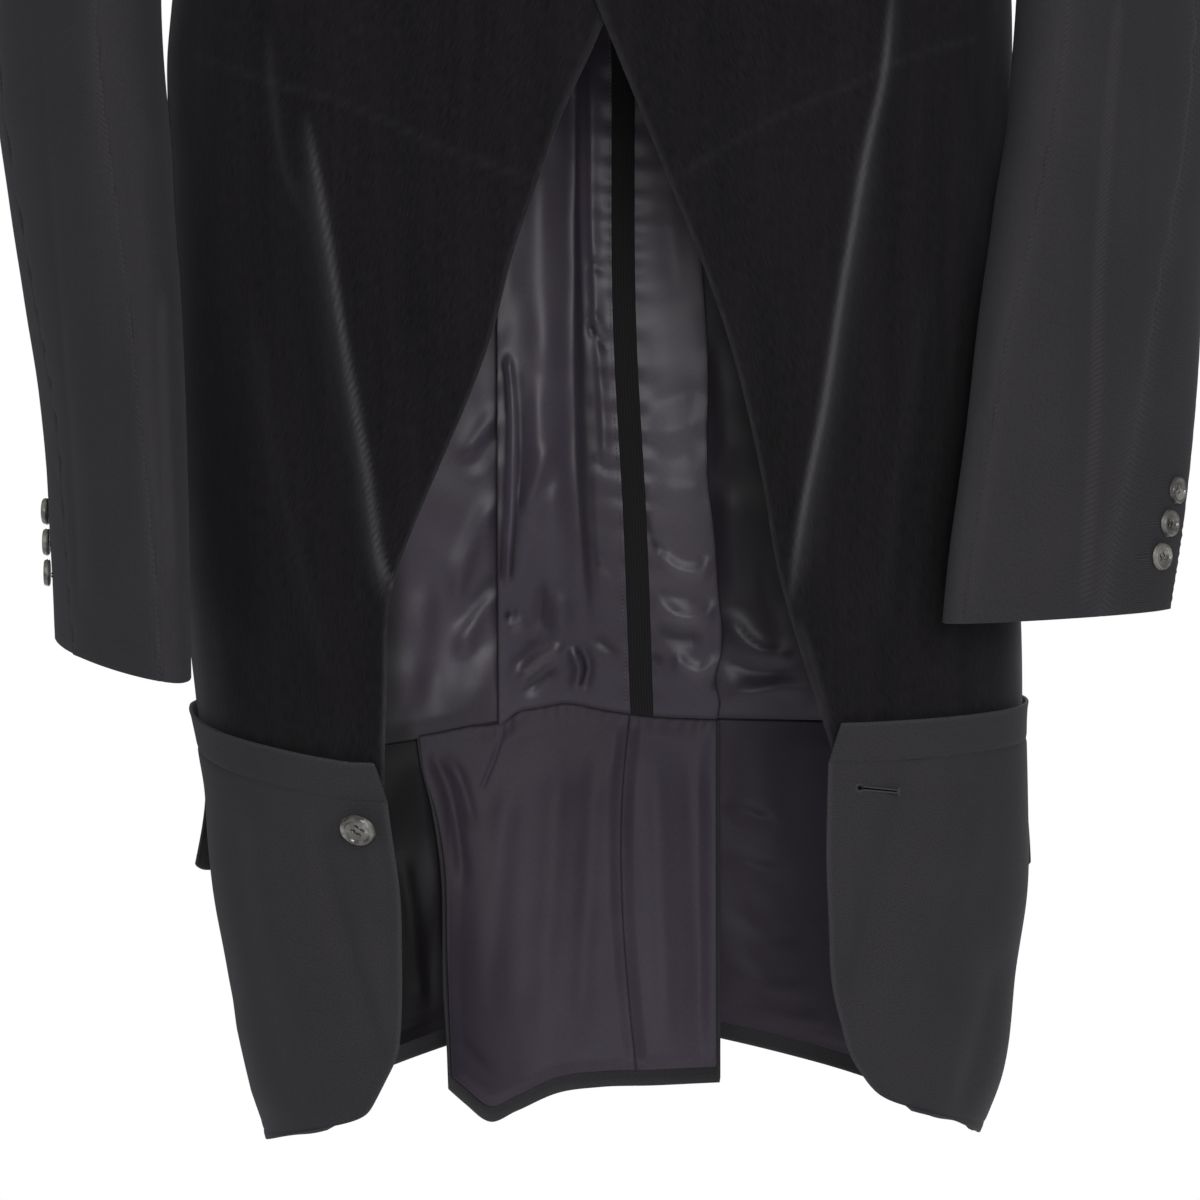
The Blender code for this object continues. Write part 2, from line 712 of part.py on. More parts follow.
def skirt_net(part, columns=6, rows=9, inset=0.0, short=0.0, edge_gap=0.0, top=SKIRT_TOP):
    """Centre back panel: part +1 lies to the wearer's left of its seam."""
    net = []
    u = np.linspace(0, 1, columns)
    for t in np.linspace(1, 0, rows):
        level = top - 207 * t
        seam = read(SKIRT_SEAM, "x", level)
        if part > 0:
            x = seam + (68 - edge_gap - seam) * u
        else:
            x = read(SKIRT_SIDE, "x", level) + edge_gap
            x = x + (seam - x) * u
        hem = read(SKIRT_HEM, "z", x) + short
        z = top + (hem - top) * t
        curl = read(SKIRT_HEM, "curl", x) * t ** 2
        back = behind(SKIRT, x, z, read(SKIRT_INSET, "inset", z) + inset + curl)
        net.append(back)
    return np.array(net)


def add_skirt(home):
    half = SEAM / 2
    for part, word in ((1, "left"), (-1, "right")):
        gaps = (half, 0, 0, 0) if part > 0 else (0, half, 0, 0)
        cloth(f"back_skirt_{word}", skirt_net(part), -1, WOOL, "wool", home, gaps)
        grid = skirt_net(part, inset=WOOL + SEAM + 0.1, short=9.0, edge_gap=2.0, top=-709.6)
        cloth(f"skirt_lining_{word}", grid, -1, SATIN, "satin", home, gaps)


LINING_STAND = table("z stand", [
    (-712, 1.9), (-690, 5), (-620, 12), (-500, 12), (-400, 9), (-300, 5), (-200, 2.4), (-20, 2.4),
])
TAPE_MIDDLE = table("z x", [(-709, 24), (-600, 20), (-488, 14), (-330, 13), (-20, 10)])


def back_rows(backs):
    """Whole back rows from the wearer's right seam to the left seam, up to the neck."""
    rows = []
    for right, left in zip(backs[-1][:-2], backs[1][:-2]):
        rows.append(np.concatenate([right, left[-2::-1]]))
    return rows


def cut(row, x):
    return np.stack([x, np.interp(x, row[:, 0], row[:, 1]), np.interp(x, row[:, 0], row[:, 2])], -1)


def add_linings(backs, home):
    rows = back_rows(backs)
    half = SEAM / 2
    left = []
    right = []
    tape = []
    for row in rows:
        level = row[len(row) // 2, 2]
        middle = read(TAPE_MIDDLE, "x", level)
        stand = read(LINING_STAND, "stand", level)
        for store, x in (
            (left, np.linspace(middle, 66, 7)),
            (right, np.linspace(-58, middle, 8)),
            (tape, middle + np.linspace(-6.2, 6.2, 3)),
        ):
            line = cut(row, x)
            line[:, 1] -= WOOL + SEAM + stand
            if store is tape:
                line[:, 1] -= SATIN + SEAM
            store.append(line)
    cloth("back_lining_left", np.array(left), -1, SATIN, "satin", home, (half, 0, half, 0))
    cloth("back_lining_right", np.array(right), -1, SATIN, "satin", home, (0, half, half, 0))
    cloth("centre_back_tape", np.array(tape), -1, SATIN, "tape", home, (0, 0, half, 0))

    for side, word, x_end in ((1, "left", 54.0), (-1, "right", 46.0)):
        grid = []
        for t in np.linspace(0, 1, 12):
            u = np.linspace(0, 1, 9)
            level = SEAM_LEVEL[side][2] * (1 - t) + (UNDERARM_Z - 2) * t
            stop = 2 - turn_at_x(BODY, side, x_end, level)
            start = turn_at_seam(BODY, level)
            turn = start + (stop - start) * u
            z = (seam_level(side, turn) + 0.8) * (1 - t) + (UNDERARM_Z - 2) * t
            inset = WOOL + 0.45 + 1.6 * np.minimum(np.minimum(8 * u, 1), 2.5 * (1 - u))
            grid.append(skin(BODY, side, turn, z, -inset))
        gaps = (half, 0, half, 0)
        cloth(f"side_lining_{word}", np.array(grid), side, SATIN, "satin", home, gaps)


def add_buttons(fronts, home):
    z = -746.6
    turn = turn_at_x(SKIRT, -1, 125.0, z)
    spot = skin(SKIRT, -1, turn, z)
    normal = skin(SKIRT, -1, turn, z, 1.0) - spot
    droop = math.radians(BUTTON_DROOP)
    lift = (FRONT_BUTTON / 2 - 1.0) * math.sin(droop)
    spot = spot + lift * normal
    normal = math.cos(droop) * normal + math.sin(droop) * np.array([0, 0, -1.0])
    button("button_lower", FRONT_BUTTON, spot, normal, home)

    z = -294.0
    turn = turn_at_x(BODY, 1, 10.0, z)
    spot = skin(BODY, 1, turn, z, LAP)
    normal = skin(BODY, 1, turn, z, LAP + 1) - spot
    button("button_closure", FRONT_BUTTON, spot, normal, home)

    for side, word in ((1, "left"), (-1, "right")):
        rows = SLEEVE_LEFT if side > 0 else SLEEVE_RIGHT
        levels = np.array([row[0] for row in rows])[::-1]
        for i in range(3):
            z = -572.0 - CUFF_BUTTON_GAP * i
            if side < 0:
                z -= 16.0
            values = []
            for c in range(1, 7):
                column = np.array([row[c] for row in rows], float)[::-1]
                values.append(float(curve(levels, column, z)))
            x, y, deep, thin, twist, slant = values
            t = math.radians(twist)
            phi = math.radians(CUFF_BUTTON_ANGLE[side] + 2.5 * i)
            ahead = np.array([-side * math.sin(t), -math.cos(t), 0])
            aside = np.array([side * math.cos(t), -math.sin(t), 0])
            spot = np.array([side * x, y, z]) + deep * math.sin(phi) * ahead + thin * math.cos(phi) * aside
            spot[2] -= slant * math.sin(phi)
            normal = unit(math.sin(phi) / deep * ahead + math.cos(phi) / thin * aside)
            spot = spot + CUFF_BUTTON_LIFT[side] * normal
            button(f"cuff_button_{word}_{i + 1}", CUFF_BUTTON, spot, normal, home)


def main():
    for obj in list(bpy.data.objects):
        bpy.data.objects.remove(obj, do_unlink=True)
    home = bpy.data.collections.new("long_jacket")
    bpy.context.scene.collection.children.link(home)
    fronts = {}
    backs = {}
    for side in (1, -1):
        fronts[side], backs[side] = add_fronts(side, home)
        add_lower(side, home)
    add_collar(home)
    add_band(home)
    add_skirt(home)
    add_linings(backs, home)
    add_buttons(fronts, home)


main()
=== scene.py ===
"""Looks of the long jacket: cloth surfaces, buttons, stitching, materials, light and camera.

Lengths in the tables are millimetres. X runs to the wearer's left, Y to the back and Z up.
Side +1 is the wearer's left and side -1 the wearer's right.
"""
import math

import bpy
import numpy as np
from mathutils import Matrix, Vector


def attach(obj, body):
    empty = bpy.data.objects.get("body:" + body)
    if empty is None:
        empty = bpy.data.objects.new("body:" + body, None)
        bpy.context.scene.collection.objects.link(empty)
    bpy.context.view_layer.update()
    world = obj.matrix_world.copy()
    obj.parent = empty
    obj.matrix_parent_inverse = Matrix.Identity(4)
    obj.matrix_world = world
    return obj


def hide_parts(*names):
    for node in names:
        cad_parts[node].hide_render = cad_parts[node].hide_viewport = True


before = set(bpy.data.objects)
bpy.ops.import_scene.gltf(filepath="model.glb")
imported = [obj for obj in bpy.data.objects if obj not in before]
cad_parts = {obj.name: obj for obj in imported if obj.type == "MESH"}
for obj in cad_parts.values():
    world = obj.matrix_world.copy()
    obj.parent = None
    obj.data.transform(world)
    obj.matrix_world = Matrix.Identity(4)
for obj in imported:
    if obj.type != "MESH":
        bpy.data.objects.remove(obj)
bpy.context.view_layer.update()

MM = 0.001
WORD = {1: "left", -1: "right"}

# Cloth and seams
WOOL = 1.8
SATIN = 1.0
SEAM = 0.3
HALF_SEAM = SEAM / 2
POWER = 2.4
UNDERARM_Z = -268.0
SIDE_SEAM_Y = 18.0
BAND_HEIGHT = 20.0
BAND_LEAN = 1.2
SLEEVE_POINTS = 32
HALF_SLEEVE = 16

# Rows of the nets of front and back: the row of the underarm and the row of the shoulder
FRONT_ARM_ROW, FRONT_TOP_ROW = 13, 21
BACK_ARM_ROW, BACK_TOP_ROW = 11, 19

# Buttons and flaps
FRONT_BUTTON = 20.0
CUFF_BUTTON = 15.0
CUFF_BUTTON_GAP = 17.5
CUFF_BUTTON_ANGLE = {1: -50.0, -1: -64.0}
CUFF_BUTTON_LIFT = {1: 0.0, -1: 0.9}
BUTTON_DROOP = 32.0
FLAP_DROP = 57.0
SKIRT_TOP = -710.8
LAP = 3.2


def table(names, rows):
    """Columns by name, with the rows sorted by the first column."""
    rows = sorted(rows)
    return {name: np.array([row[i] for row in rows], float) for i, name in enumerate(names.split())}


# Outside of the upper garment below the underarm
BODY = table("z left right front back", [
    (-268, 226, 220, 135, 121),
    (-340, 234, 223, 132, 117),
    (-420, 232, 221.5, 130, 114),
    (-500, 229.5, 222, 128, 115),
    (-600, 226.5, 226, 128, 120),
    (-660, 223.5, 230, 128.8, 126),
    (-690, 220, 229.8, 128.8, 127.4),
    (-711, 217.3, 230.2, 128.8, 127.6),
    (-740, 213.4, 230.8, 128.8, 127.6),
])

# Outside of the band and the lower section
SKIRT = table("z left right front back", [
    (-660, 226.1, 232.6, 131.4, 128.8),
    (-690, 222.6, 232.4, 131.4, 130.1),
    (-711, 219.9, 232.8, 131.4, 130.2),
    (-740, 216.0, 233.6, 131.2, 130.2),
    (-785, 212, 234, 129.5, 129),
    (-831, 205, 228.5, 128, 127.5),
    (-897, 191, 218.5, 125.5, 126),
    (-925, 184, 208, 124, 125),
    (-940, 180.5, 203.5, 123.5, 124.8),
])

# Front edge of the velvet
EDGE_LEFT = table("z x", [
    (-268, -17), (-280, -14), (-300, -8), (-320, 0), (-364, 18), (-417, 40), (-462, 58),
    (-502, 71), (-538, 80), (-573, 87), (-622, 96), (-658, 107), (-698, 120), (-716, 126),
])
EDGE_RIGHT = table("z x", [
    (-268, -16), (-280, -14), (-300, -10), (-317, -5), (-330, 0), (-373, 20), (-415, 35),
    (-457, 49), (-485, 56), (-538, 76), (-578, 94), (-600, 102), (-622, 109), (-636, 111.5),
    (-672, 112), (-721, 114), (-738, 114.5),
])
EDGE = {1: EDGE_LEFT, -1: EDGE_RIGHT}

# Height of the seam above the band at the front edge, the side and the back
SEAM_TURNS = (0.36, 1.0, 2.0)
SEAM_LEVEL = {1: (-712.0, -708.0, -709.0), -1: (-733.0, -711.0, -709.0)}

# Fronts and backs above the underarm
FRONT_TOP = [
    (-7, -133, -248, 209, -12, -262),
    (6, -131, -222, 201, -42, -236),
    (20, -126, -190, 193, -58, -198),
    (34, -118, -155, 190, -61, -158),
    (47, -105, -118, 194, -53, -118),
    (59, -82, -78, 204, -34, -82),
    (70, -42, -34, 215, -10, -56),
    (78, 5, 0, 222, 12, -48),
]
BACK_TOP = [
    (0, 122, -240, 208, 40, -260),
    (0, 121, -202, 202, 58, -232),
    (0, 116, -160, 198, 68, -196),
    (0, 106, -118, 198, 70, -158),
    (0, 90, -70, 201, 64, -120),
    (0, 64, -17, 208, 48, -84),
    (48, 46, -8, 216, 29, -58),
    (78, 5, 0, 222, 12, -48),
]
UNDERARM_OUT = {1: 10.0, -1: 16.0}
ARM_SHARE = (0.95, 0.7, 0.42, 0.2, 0.08, 0, 0, 0)
FRONT_BOW = (1, 1, 0.95, 0.9, 0.8, 0.55, 0.25, 0)
BACK_BOW = (0.85, 0.74, 0.72, 0.7, 0.65, 0.5, 0.25, 0)

# Lower fronts: front edge and side of each row
LOWER_LEFT = [
    (120.5, -712, -708),
    (119.6, -740, -738),
    (119.6, -768, -768),
    (121.0, -798, -798),
    (122.7, -828, -828),
    (127.5, -850, -858),
    (132.0, -866, -882),
    (139.0, -878.5, -901),
    (151.0, -892, -916),
    (172.0, -900.6, -928.5),
]
LOWER_RIGHT = [
    (112.3, -733, -711),
    (109.0, -757, -740),
    (105.6, -783, -770),
    (105.0, -809, -800),
    (105.0, -835, -831),
    (106.6, -862, -862),
    (111.6, -877, -885),
    (120.0, -894, -903),
    (129.0, -904, -919),
    (150.0, -911, -931.5),
]
LOWER = {1: LOWER_LEFT, -1: LOWER_RIGHT}
VENT = {1: (46.0, -888.0), -1: (64.0, -889.0)}
VENT_END = 68  # x of the skirt's free edge at the wearer's left vent
SKIRT_HEM = table("x z curl", [
    (-86, -911, 42), (-76, -922, 30), (-63, -934, 19), (-48, -930, 9), (-25, -921, 3),
    (0, -918, 0), (30, -917, 0), (69, -914.5, 2),
])

# Soft folds: side, top and low end (x, z), width and height
FRONT_FOLDS = [
    (1, 154, -315, 125, -480, 16, 4.5),
    (1, 125, -480, 104, -596, 13, 4.0),
    (1, 104, -596, 108, -670, 12, 1.5),
    (-1, 151, -393, 126, -538, 16, 4.5),
    (-1, 126, -538, 110, -627, 12, 4.0),
    (-1, 110, -627, 111, -700, 9, 2.0),
]
LOWER_FOLDS = [
    (1, 170, -700, 138, -830, 11, -2.0),
    (1, 214, -800, 195, -920, 12, -2.0),
    (-1, 146, -757, 122, -870, 10, -2.2),
]

# Sleeves: height, centre, half depth, half thickness, turn and slant
SLEEVE_LEFT = [
    (-315, 286, -8, 88, 42, 35.5, 0),
    (-370, 278, -22, 86, 39, 39, 0),
    (-430, 269.5, -40, 81, 35, 44, 0),
    (-490, 261, -58, 78, 31, 51, 0),
    (-545, 254.5, -72, 74, 27, 57, 0),
    (-592, 247.5, -84, 71, 24, 61, 1),
    (-636, 241.5, -93, 69, 22, 63.4, 2),
]
SLEEVE_RIGHT = [
    (-315, 290, -2, 88, 42, 24, 0),
    (-370, 281, -12, 86, 39, 25, 0),
    (-430, 272, -26, 81, 36, 26, 0),
    (-490, 265, -40, 77, 32, 26.5, 0),
    (-545, 259.5, -52, 75, 28, 27, 1),
    (-600, 256.5, -62, 72, 25, 29.5, 4),
    (-660, 254.5, -70, 69, 22, 31.5, 9),
]
SLEEVE = {1: SLEEVE_LEFT, -1: SLEEVE_RIGHT}
CAP_STEPS = (0.0, 0.1, 0.24, 0.42, 0.62, 0.82)
ELBOW_LINE = -1
FORE_SEAM = 6
HIND_SEAM = -7
LAPEL_WIDTH = (10, 33, 54, 70, 82, 80)

# Collar from the centre back to the notch
COLLAR = [
    (0, 64, -17, 0.0, 0.62, -0.7, 40, 46),
    (26, 58, -13, 0.28, 0.6, -0.62, 39, 46),
    (48, 46, -7, 0.6, 0.42, -0.48, 35, 46),
    (66, 27, -2, 0.85, 0.2, -0.36, 30, 46),
    (78, 5, 1, 0.93, 0.0, -0.28, 26, 46),
    (75, -18, -14, 0.93, -0.2, -0.28, 21, 47),
    (70, -42, -33, 0.92, -0.26, -0.26, 15, 48),
    (64, -62, -54, 0.9, -0.32, -0.24, 10, 50),
]

SKIRT_SEAM = table("z x", [(-920, 21), (-870, 16), (-815, 12.5), (-760, 12.5), (-709, 17)])
SKIRT_SIDE = table("z x", [
    (-920, -85), (-860, -88), (-790, -91), (-760, -96), (-735, -102), (-709, -105),
])
SKIRT_INSET = table("z inset", [(-920, 20), (-850, 15), (-790, 10), (-740, 6), (-709, 4.4)])
LINING_STAND = table("z stand", [
    (-712, 1.9), (-690, 5), (-620, 12), (-500, 12), (-400, 9), (-300, 5), (-200, 2.4), (-20, 2.4),
])
TAPE_MIDDLE = table("z x", [(-709, 24), (-600, 20), (-488, 14), (-330, 13), (-20, 10)])


# Surfaces

def curve(xs, ys, x):
    """Smooth line through the knots, held at both ends."""
    slope = np.gradient(ys, xs)
    x = np.clip(np.asarray(x, float), xs[0], xs[-1])
    i = np.clip(np.searchsorted(xs, x) - 1, 0, len(xs) - 2)
    h = xs[i + 1] - xs[i]
    t = (x - xs[i]) / h
    a = (1 + 2 * t) * (1 - t) ** 2 * ys[i] + t * (1 - t) ** 2 * h * slope[i]
    b = t * t * (3 - 2 * t) * ys[i + 1] + t * t * (t - 1) * h * slope[i + 1]
    return a + b


def read(tab, name, at):
    key = next(iter(tab))
    return curve(tab[key], tab[name], at)


def half_width(tab, side, z):
    return np.where(np.asarray(side) > 0, read(tab, "right", z), read(tab, "left", z))


def ring(tab, side, turn, z):
    """Point on the outside: turn 0 is the centre front, 1 the side, 2 the centre back."""
    turn, z = np.broadcast_arrays(np.asarray(turn, float), np.asarray(z, float))
    angle = turn * np.pi / 2
    sine = np.sin(angle)
    cosine = np.cos(angle)
    x = side * half_width(tab, side, z) * np.sign(sine) * np.abs(sine) ** (2 / POWER)
    depth = np.where(cosine > 0, -read(tab, "front", z), read(tab, "back", z))
    y = depth * np.abs(cosine) ** (2 / POWER)
    return np.stack([x, y, z], axis=-1)


def unit(v):
    return v / np.maximum(np.linalg.norm(v, axis=-1, keepdims=True), 1e-9)


def skin(tab, side, turn, z, out=0.0):
    """Point moved out from the garment surface by a distance."""
    across = ring(tab, side, turn + 0.02, z) - ring(tab, side, turn - 0.02, z)
    up = ring(tab, side, turn, z + 2.0) - ring(tab, side, turn, z - 2.0)
    normal = unit(side * np.cross(across, up))
    return ring(tab, side, turn, z) + np.asarray(out)[..., None] * normal


def turn_at_x(tab, side, x, z):
    part = np.clip(np.abs(x) / half_width(tab, side, z), 0, 1)
    return np.sign(x) * np.arcsin(part ** (POWER / 2)) * 2 / np.pi


def turn_at_seam(tab, z):
    part = (SIDE_SEAM_Y / read(tab, "back", z)) ** (POWER / 2)
    return 1 + np.arcsin(part) * 2 / np.pi


def ridge(folds, side, x, z):
    """Height of the soft folds of one side, which run down the front."""
    total = np.zeros(np.broadcast(x, z).shape)
    for fold_side, x_top, z_top, x_low, z_low, width, height in folds:
        if fold_side != side:
            continue
        t = (z_top - z) / (z_top - z_low)
        middle = x_top + (x_low - x_top) * np.clip(t, 0, 1)
        ends = np.clip(0.5 + 6 * t, 0, 1) * np.clip(0.5 + 6 * (1 - t), 0, 1)
        total = total + height * ends * np.exp(-((np.abs(x) - middle) / width) ** 2)
    return total


def arc_row(side, row, columns, bow, share):
    """Row above the underarm, between a straight line (bow 0) and a quarter section (1)."""
    x_in, y_in, z_in, x_out, y_out, z_out = row
    x_out = x_out + UNDERARM_OUT[side] * share
    angle = np.linspace(0, np.pi / 2, columns)
    along = np.sin(angle) ** (2 / POWER)
    away = 1 - np.maximum(np.cos(angle), 0) ** (2 / POWER)
    x = side * (x_in + (x_out - x_in) * along)
    y = y_in + (y_out - y_in) * (bow * away + (1 - bow) * along)
    z = z_in + (z_out - z_in) * along
    return np.stack([x, y, z], axis=-1)


def seam_level(side, turn):
    return np.interp(turn, SEAM_TURNS, SEAM_LEVEL[side])


def lap_share(x):
    return np.clip((90 - x) / 50, 0, 1)


def front_net(side, columns):
    """Velvet front from the band seam to the shoulder."""
    net = []
    for k in range(FRONT_ARM_ROW + 1):
        t = k / FRONT_ARM_ROW
        z_edge = SEAM_LEVEL[side][0] * (1 - t) + UNDERARM_Z * t
        z_side = SEAM_LEVEL[side][1] * (1 - t) + UNDERARM_Z * t
        x_edge = read(EDGE[side], "x", z_edge)
        start = turn_at_x(BODY, side, x_edge, z_edge)
        stop = turn_at_seam(BODY, z_side)
        u = np.linspace(0, 1, columns)
        turn = start + (stop - start) * u
        z = seam_level(side, turn) * (1 - t) + UNDERARM_Z * t
        x = ring(BODY, side, turn, z)[:, 0] * side
        out = ridge(FRONT_FOLDS, side, x, z)
        if side > 0:
            out = out + LAP * lap_share(x) * np.clip((z + 420) / 90, 0, 1)
        net.append(skin(BODY, side, turn, z, out))
    for i, row in enumerate(FRONT_TOP):
        line = arc_row(side, row, columns, FRONT_BOW[i], ARM_SHARE[i])
        if side > 0 and i < 2:
            line[:, 1] -= lap_share(line[:, 0]) * LAP * (1 - 0.1 * i)
        net.append(line)
    return np.array(net)


def back_net(side, columns):
    """Upper back from the band seam to the shoulder and neck, from the seam to the middle."""
    net = []
    for k in range(BACK_ARM_ROW + 1):
        t = k / BACK_ARM_ROW
        u = np.linspace(0, 1, columns)
        z = SEAM_LEVEL[side][2] * (1 - t) + UNDERARM_Z * t
        turn = turn_at_seam(BODY, z) * (1 - u) + 2 * u
        level = seam_level(side, turn) * (1 - t) + UNDERARM_Z * t
        net.append(skin(BODY, side, turn, level))
    for i, row in enumerate(BACK_TOP):
        net.append(arc_row(side, row, columns, BACK_BOW[i], ARM_SHARE[i])[::-1])
    return np.array(net)


def normals(grid, side):
    """Outward normals of a grid whose columns run from front to back and rows upwards."""
    across = np.gradient(grid, axis=1, edge_order=2)
    up = np.gradient(grid, axis=0, edge_order=2)
    return unit(side * np.cross(across, up))


def behind(tab, x, z, inset):
    """Point on the back by its signed distance from the middle."""
    half = half_width(tab, x, z)
    y = read(tab, "back", z) * (1 - np.minimum(np.abs(x) / half, 1) ** POWER) ** (1 / POWER)
    return np.stack(np.broadcast_arrays(x, y - inset, z), axis=-1)


def spaced(line, distances):
    """Points along a row at the given distances from its first point."""
    step = np.linalg.norm(np.diff(line, axis=0), axis=1)
    length = np.concatenate([[0], np.cumsum(step)])
    return np.stack([np.interp(distances, length, line[:, i]) for i in range(3)], axis=-1)


def spline_weights(count, places):
    """Weights of a natural cubic spline through evenly counted knots, one row a place."""
    system = np.zeros((count, count))
    right = np.zeros((count, count))
    system[0, 0] = system[-1, -1] = 1
    for i in range(1, count - 1):
        system[i, i - 1:i + 2] = (1, 4, 1)
        right[i, i - 1:i + 2] = (6, -12, 6)
    bend = np.linalg.solve(system, right)
    places = np.asarray(places, float)
    low = np.clip(places.astype(int), 0, count - 2)
    t = places - low
    eye = np.eye(count)
    first = (1 - t)[:, None] * eye[low] + t[:, None] * eye[low + 1]
    second = ((1 - t) ** 3 - (1 - t))[:, None] / 6 * bend[low]
    third = (t ** 3 - t)[:, None] / 6 * bend[low + 1]
    return first + second + third


def fine_rows(grid, places):
    return np.einsum("sr,rcx->scx", spline_weights(len(grid), places), grid)


def fine_columns(grid, places):
    return np.einsum("sc,rcx->rsx", spline_weights(grid.shape[1], places), grid)


def smooth_step(a, b, x):
    t = np.clip((x - a) / (b - a), 0, 1)
    return t * t * (3 - 2 * t)


def ease(*edges):
    """Product of smooth rises from 0 at an edge to 1: pairs of a distance and a width."""
    total = 1.0
    for distance, width in edges:
        total = total * smooth_step(0, width, distance)
    return total


def bell(distance, width):
    return np.exp(-(distance / width) ** 2)


# The front view: 1200 units wide and high, seen from the camera's place
VIEW_MIDDLE = 600
VIEW_SCALE = 0.52
EYE_Z = -471.0
EYE_ROW = 300.0
EYE_DISTANCE = 2500.0
FRONT_PLANE = -130.0


def view_scale(y):
    """Millimetres in one unit of the front view, at a depth."""
    return VIEW_SCALE * (1 + (y - FRONT_PLANE) / EYE_DISTANCE)


def front_view(points):
    """Column and row on the front view of points in millimetres."""
    scale = view_scale(points[..., 1])
    return VIEW_MIDDLE + points[..., 0] / scale, EYE_ROW + (EYE_Z - points[..., 2]) / scale


def stroke_field(points, strokes):
    """Sum of soft strokes drawn on the front view.

    Each is (width before, width after, height, taper, line). Before is the right of a line that
    runs down, and after is its left.
    """
    column, row = front_view(points)
    total = np.zeros(column.shape)
    for before, after, height, taper, line in strokes:
        line = np.array(line, float)
        knots = np.arange(len(line), dtype=float)
        steps = np.linspace(0, len(line) - 1, 6 * len(line))
        path = line
        if len(line) > 2:
            path = np.stack([curve(knots, line[:, i], steps) for i in (0, 1)], -1)
        span = np.linalg.norm(np.diff(path, axis=0), axis=1)
        along = np.concatenate([[0], np.cumsum(span)])
        reach = 3 * max(before, after)
        near = ((column > path[:, 0].min() - reach) & (column < path[:, 0].max() + reach)
                & (row > path[:, 1].min() - reach) & (row < path[:, 1].max() + reach))
        if not near.any():
            continue
        spot = np.stack([column[near], row[near]], -1)
        best = np.full(len(spot), 1e9)
        signed = np.zeros(len(spot))
        place = np.zeros(len(spot))
        for i in range(len(path) - 1):
            a, b = path[i], path[i + 1]
            edge = b - a
            size = max(np.hypot(*edge), 1e-6)
            t = np.clip(((spot - a) @ edge) / size ** 2, 0, 1)
            gap = spot - a - t[:, None] * edge
            distance = np.hypot(gap[:, 0], gap[:, 1])
            cross = edge[0] * gap[:, 1] - edge[1] * gap[:, 0]
            closer = distance < best
            best = np.where(closer, distance, best)
            signed = np.where(closer, np.sign(cross), signed)
            place = np.where(closer, along[i] + t * size, place)
        width = np.where(signed > 0, after, before)
        fade = np.clip(place / taper, 0, 1) * np.clip((along[-1] - place) / taper, 0, 1)
        total[near] += height * fade * bell(best, width)
    return total


def ripple(points, seed, size, share=(1, 1, 1)):
    """Smooth unevenness between about -1 and 1, made of seeded waves."""
    state = np.random.RandomState(seed)
    total = np.zeros(points.shape[:-1])
    for _ in range(9):
        direction = state.normal(size=3) * np.array(share)
        direction /= max(np.linalg.norm(direction), 1e-6)
        wave = size * (0.7 + 0.9 * state.rand())
        total += np.sin(points @ direction * 2 * np.pi / wave + state.rand() * 6.28)
    return total / 3.2


# Making of meshes
RIM_STEPS = 3


def edge_distance(grid):
    """Distance along the cloth of each point from the four edges: first, last, low and high."""
    across = np.linalg.norm(np.diff(grid, axis=1), axis=-1)
    up = np.linalg.norm(np.diff(grid, axis=0), axis=-1)
    zero_column = np.zeros((grid.shape[0], 1))
    zero_row = np.zeros((1, grid.shape[1]))
    from_first = np.concatenate([zero_column, np.cumsum(across, axis=1)], axis=1)
    from_low = np.concatenate([zero_row, np.cumsum(up, axis=0)], axis=0)
    return from_first, from_first[:, -1:] - from_first, from_low, from_low[-1:] - from_low


def rim_loop(rows, columns):
    """Rows and columns of the points round a grid, once round."""
    loop = [(0, c) for c in range(columns - 1)]
    loop += [(r, columns - 1) for r in range(rows - 1)]
    loop += [(rows - 1, c) for c in range(columns - 1, 0, -1)]
    loop += [(r, 0) for r in range(rows - 1, 0, -1)]
    return np.array(loop).T


def rounded_rim(outer, inner, r, c):
    """Lines of points that round the edge of a wall, from its outer to its inner grid."""
    rows, columns = outer.shape[:2]
    over, under = outer[r, c], inner[r, c]
    away = unit(over - outer[np.clip(r, 1, rows - 2), np.clip(c, 1, columns - 2)])
    thick = np.linalg.norm(over - under, axis=-1, keepdims=True)
    normal = unit(over - under)
    away = unit(away - (away * normal).sum(-1, keepdims=True) * normal)
    middle = (over + under) / 2
    angles = np.pi * np.arange(1, RIM_STEPS + 1) / (RIM_STEPS + 1)
    return [middle + thick / 2 * (math.cos(a) * normal + 0.8 * math.sin(a) * away) for a in angles]


def quads(index):
    """Faces between the points of a grid of point numbers."""
    corners = [index[:-1, :-1], index[:-1, 1:], index[1:, 1:], index[1:, :-1]]
    return np.stack(corners, -1).reshape(-1, 4)


def linked(name, data):
    """New object of some data, in the scene."""
    obj = bpy.data.objects.new(name, data)
    bpy.context.scene.collection.objects.link(obj)
    return obj


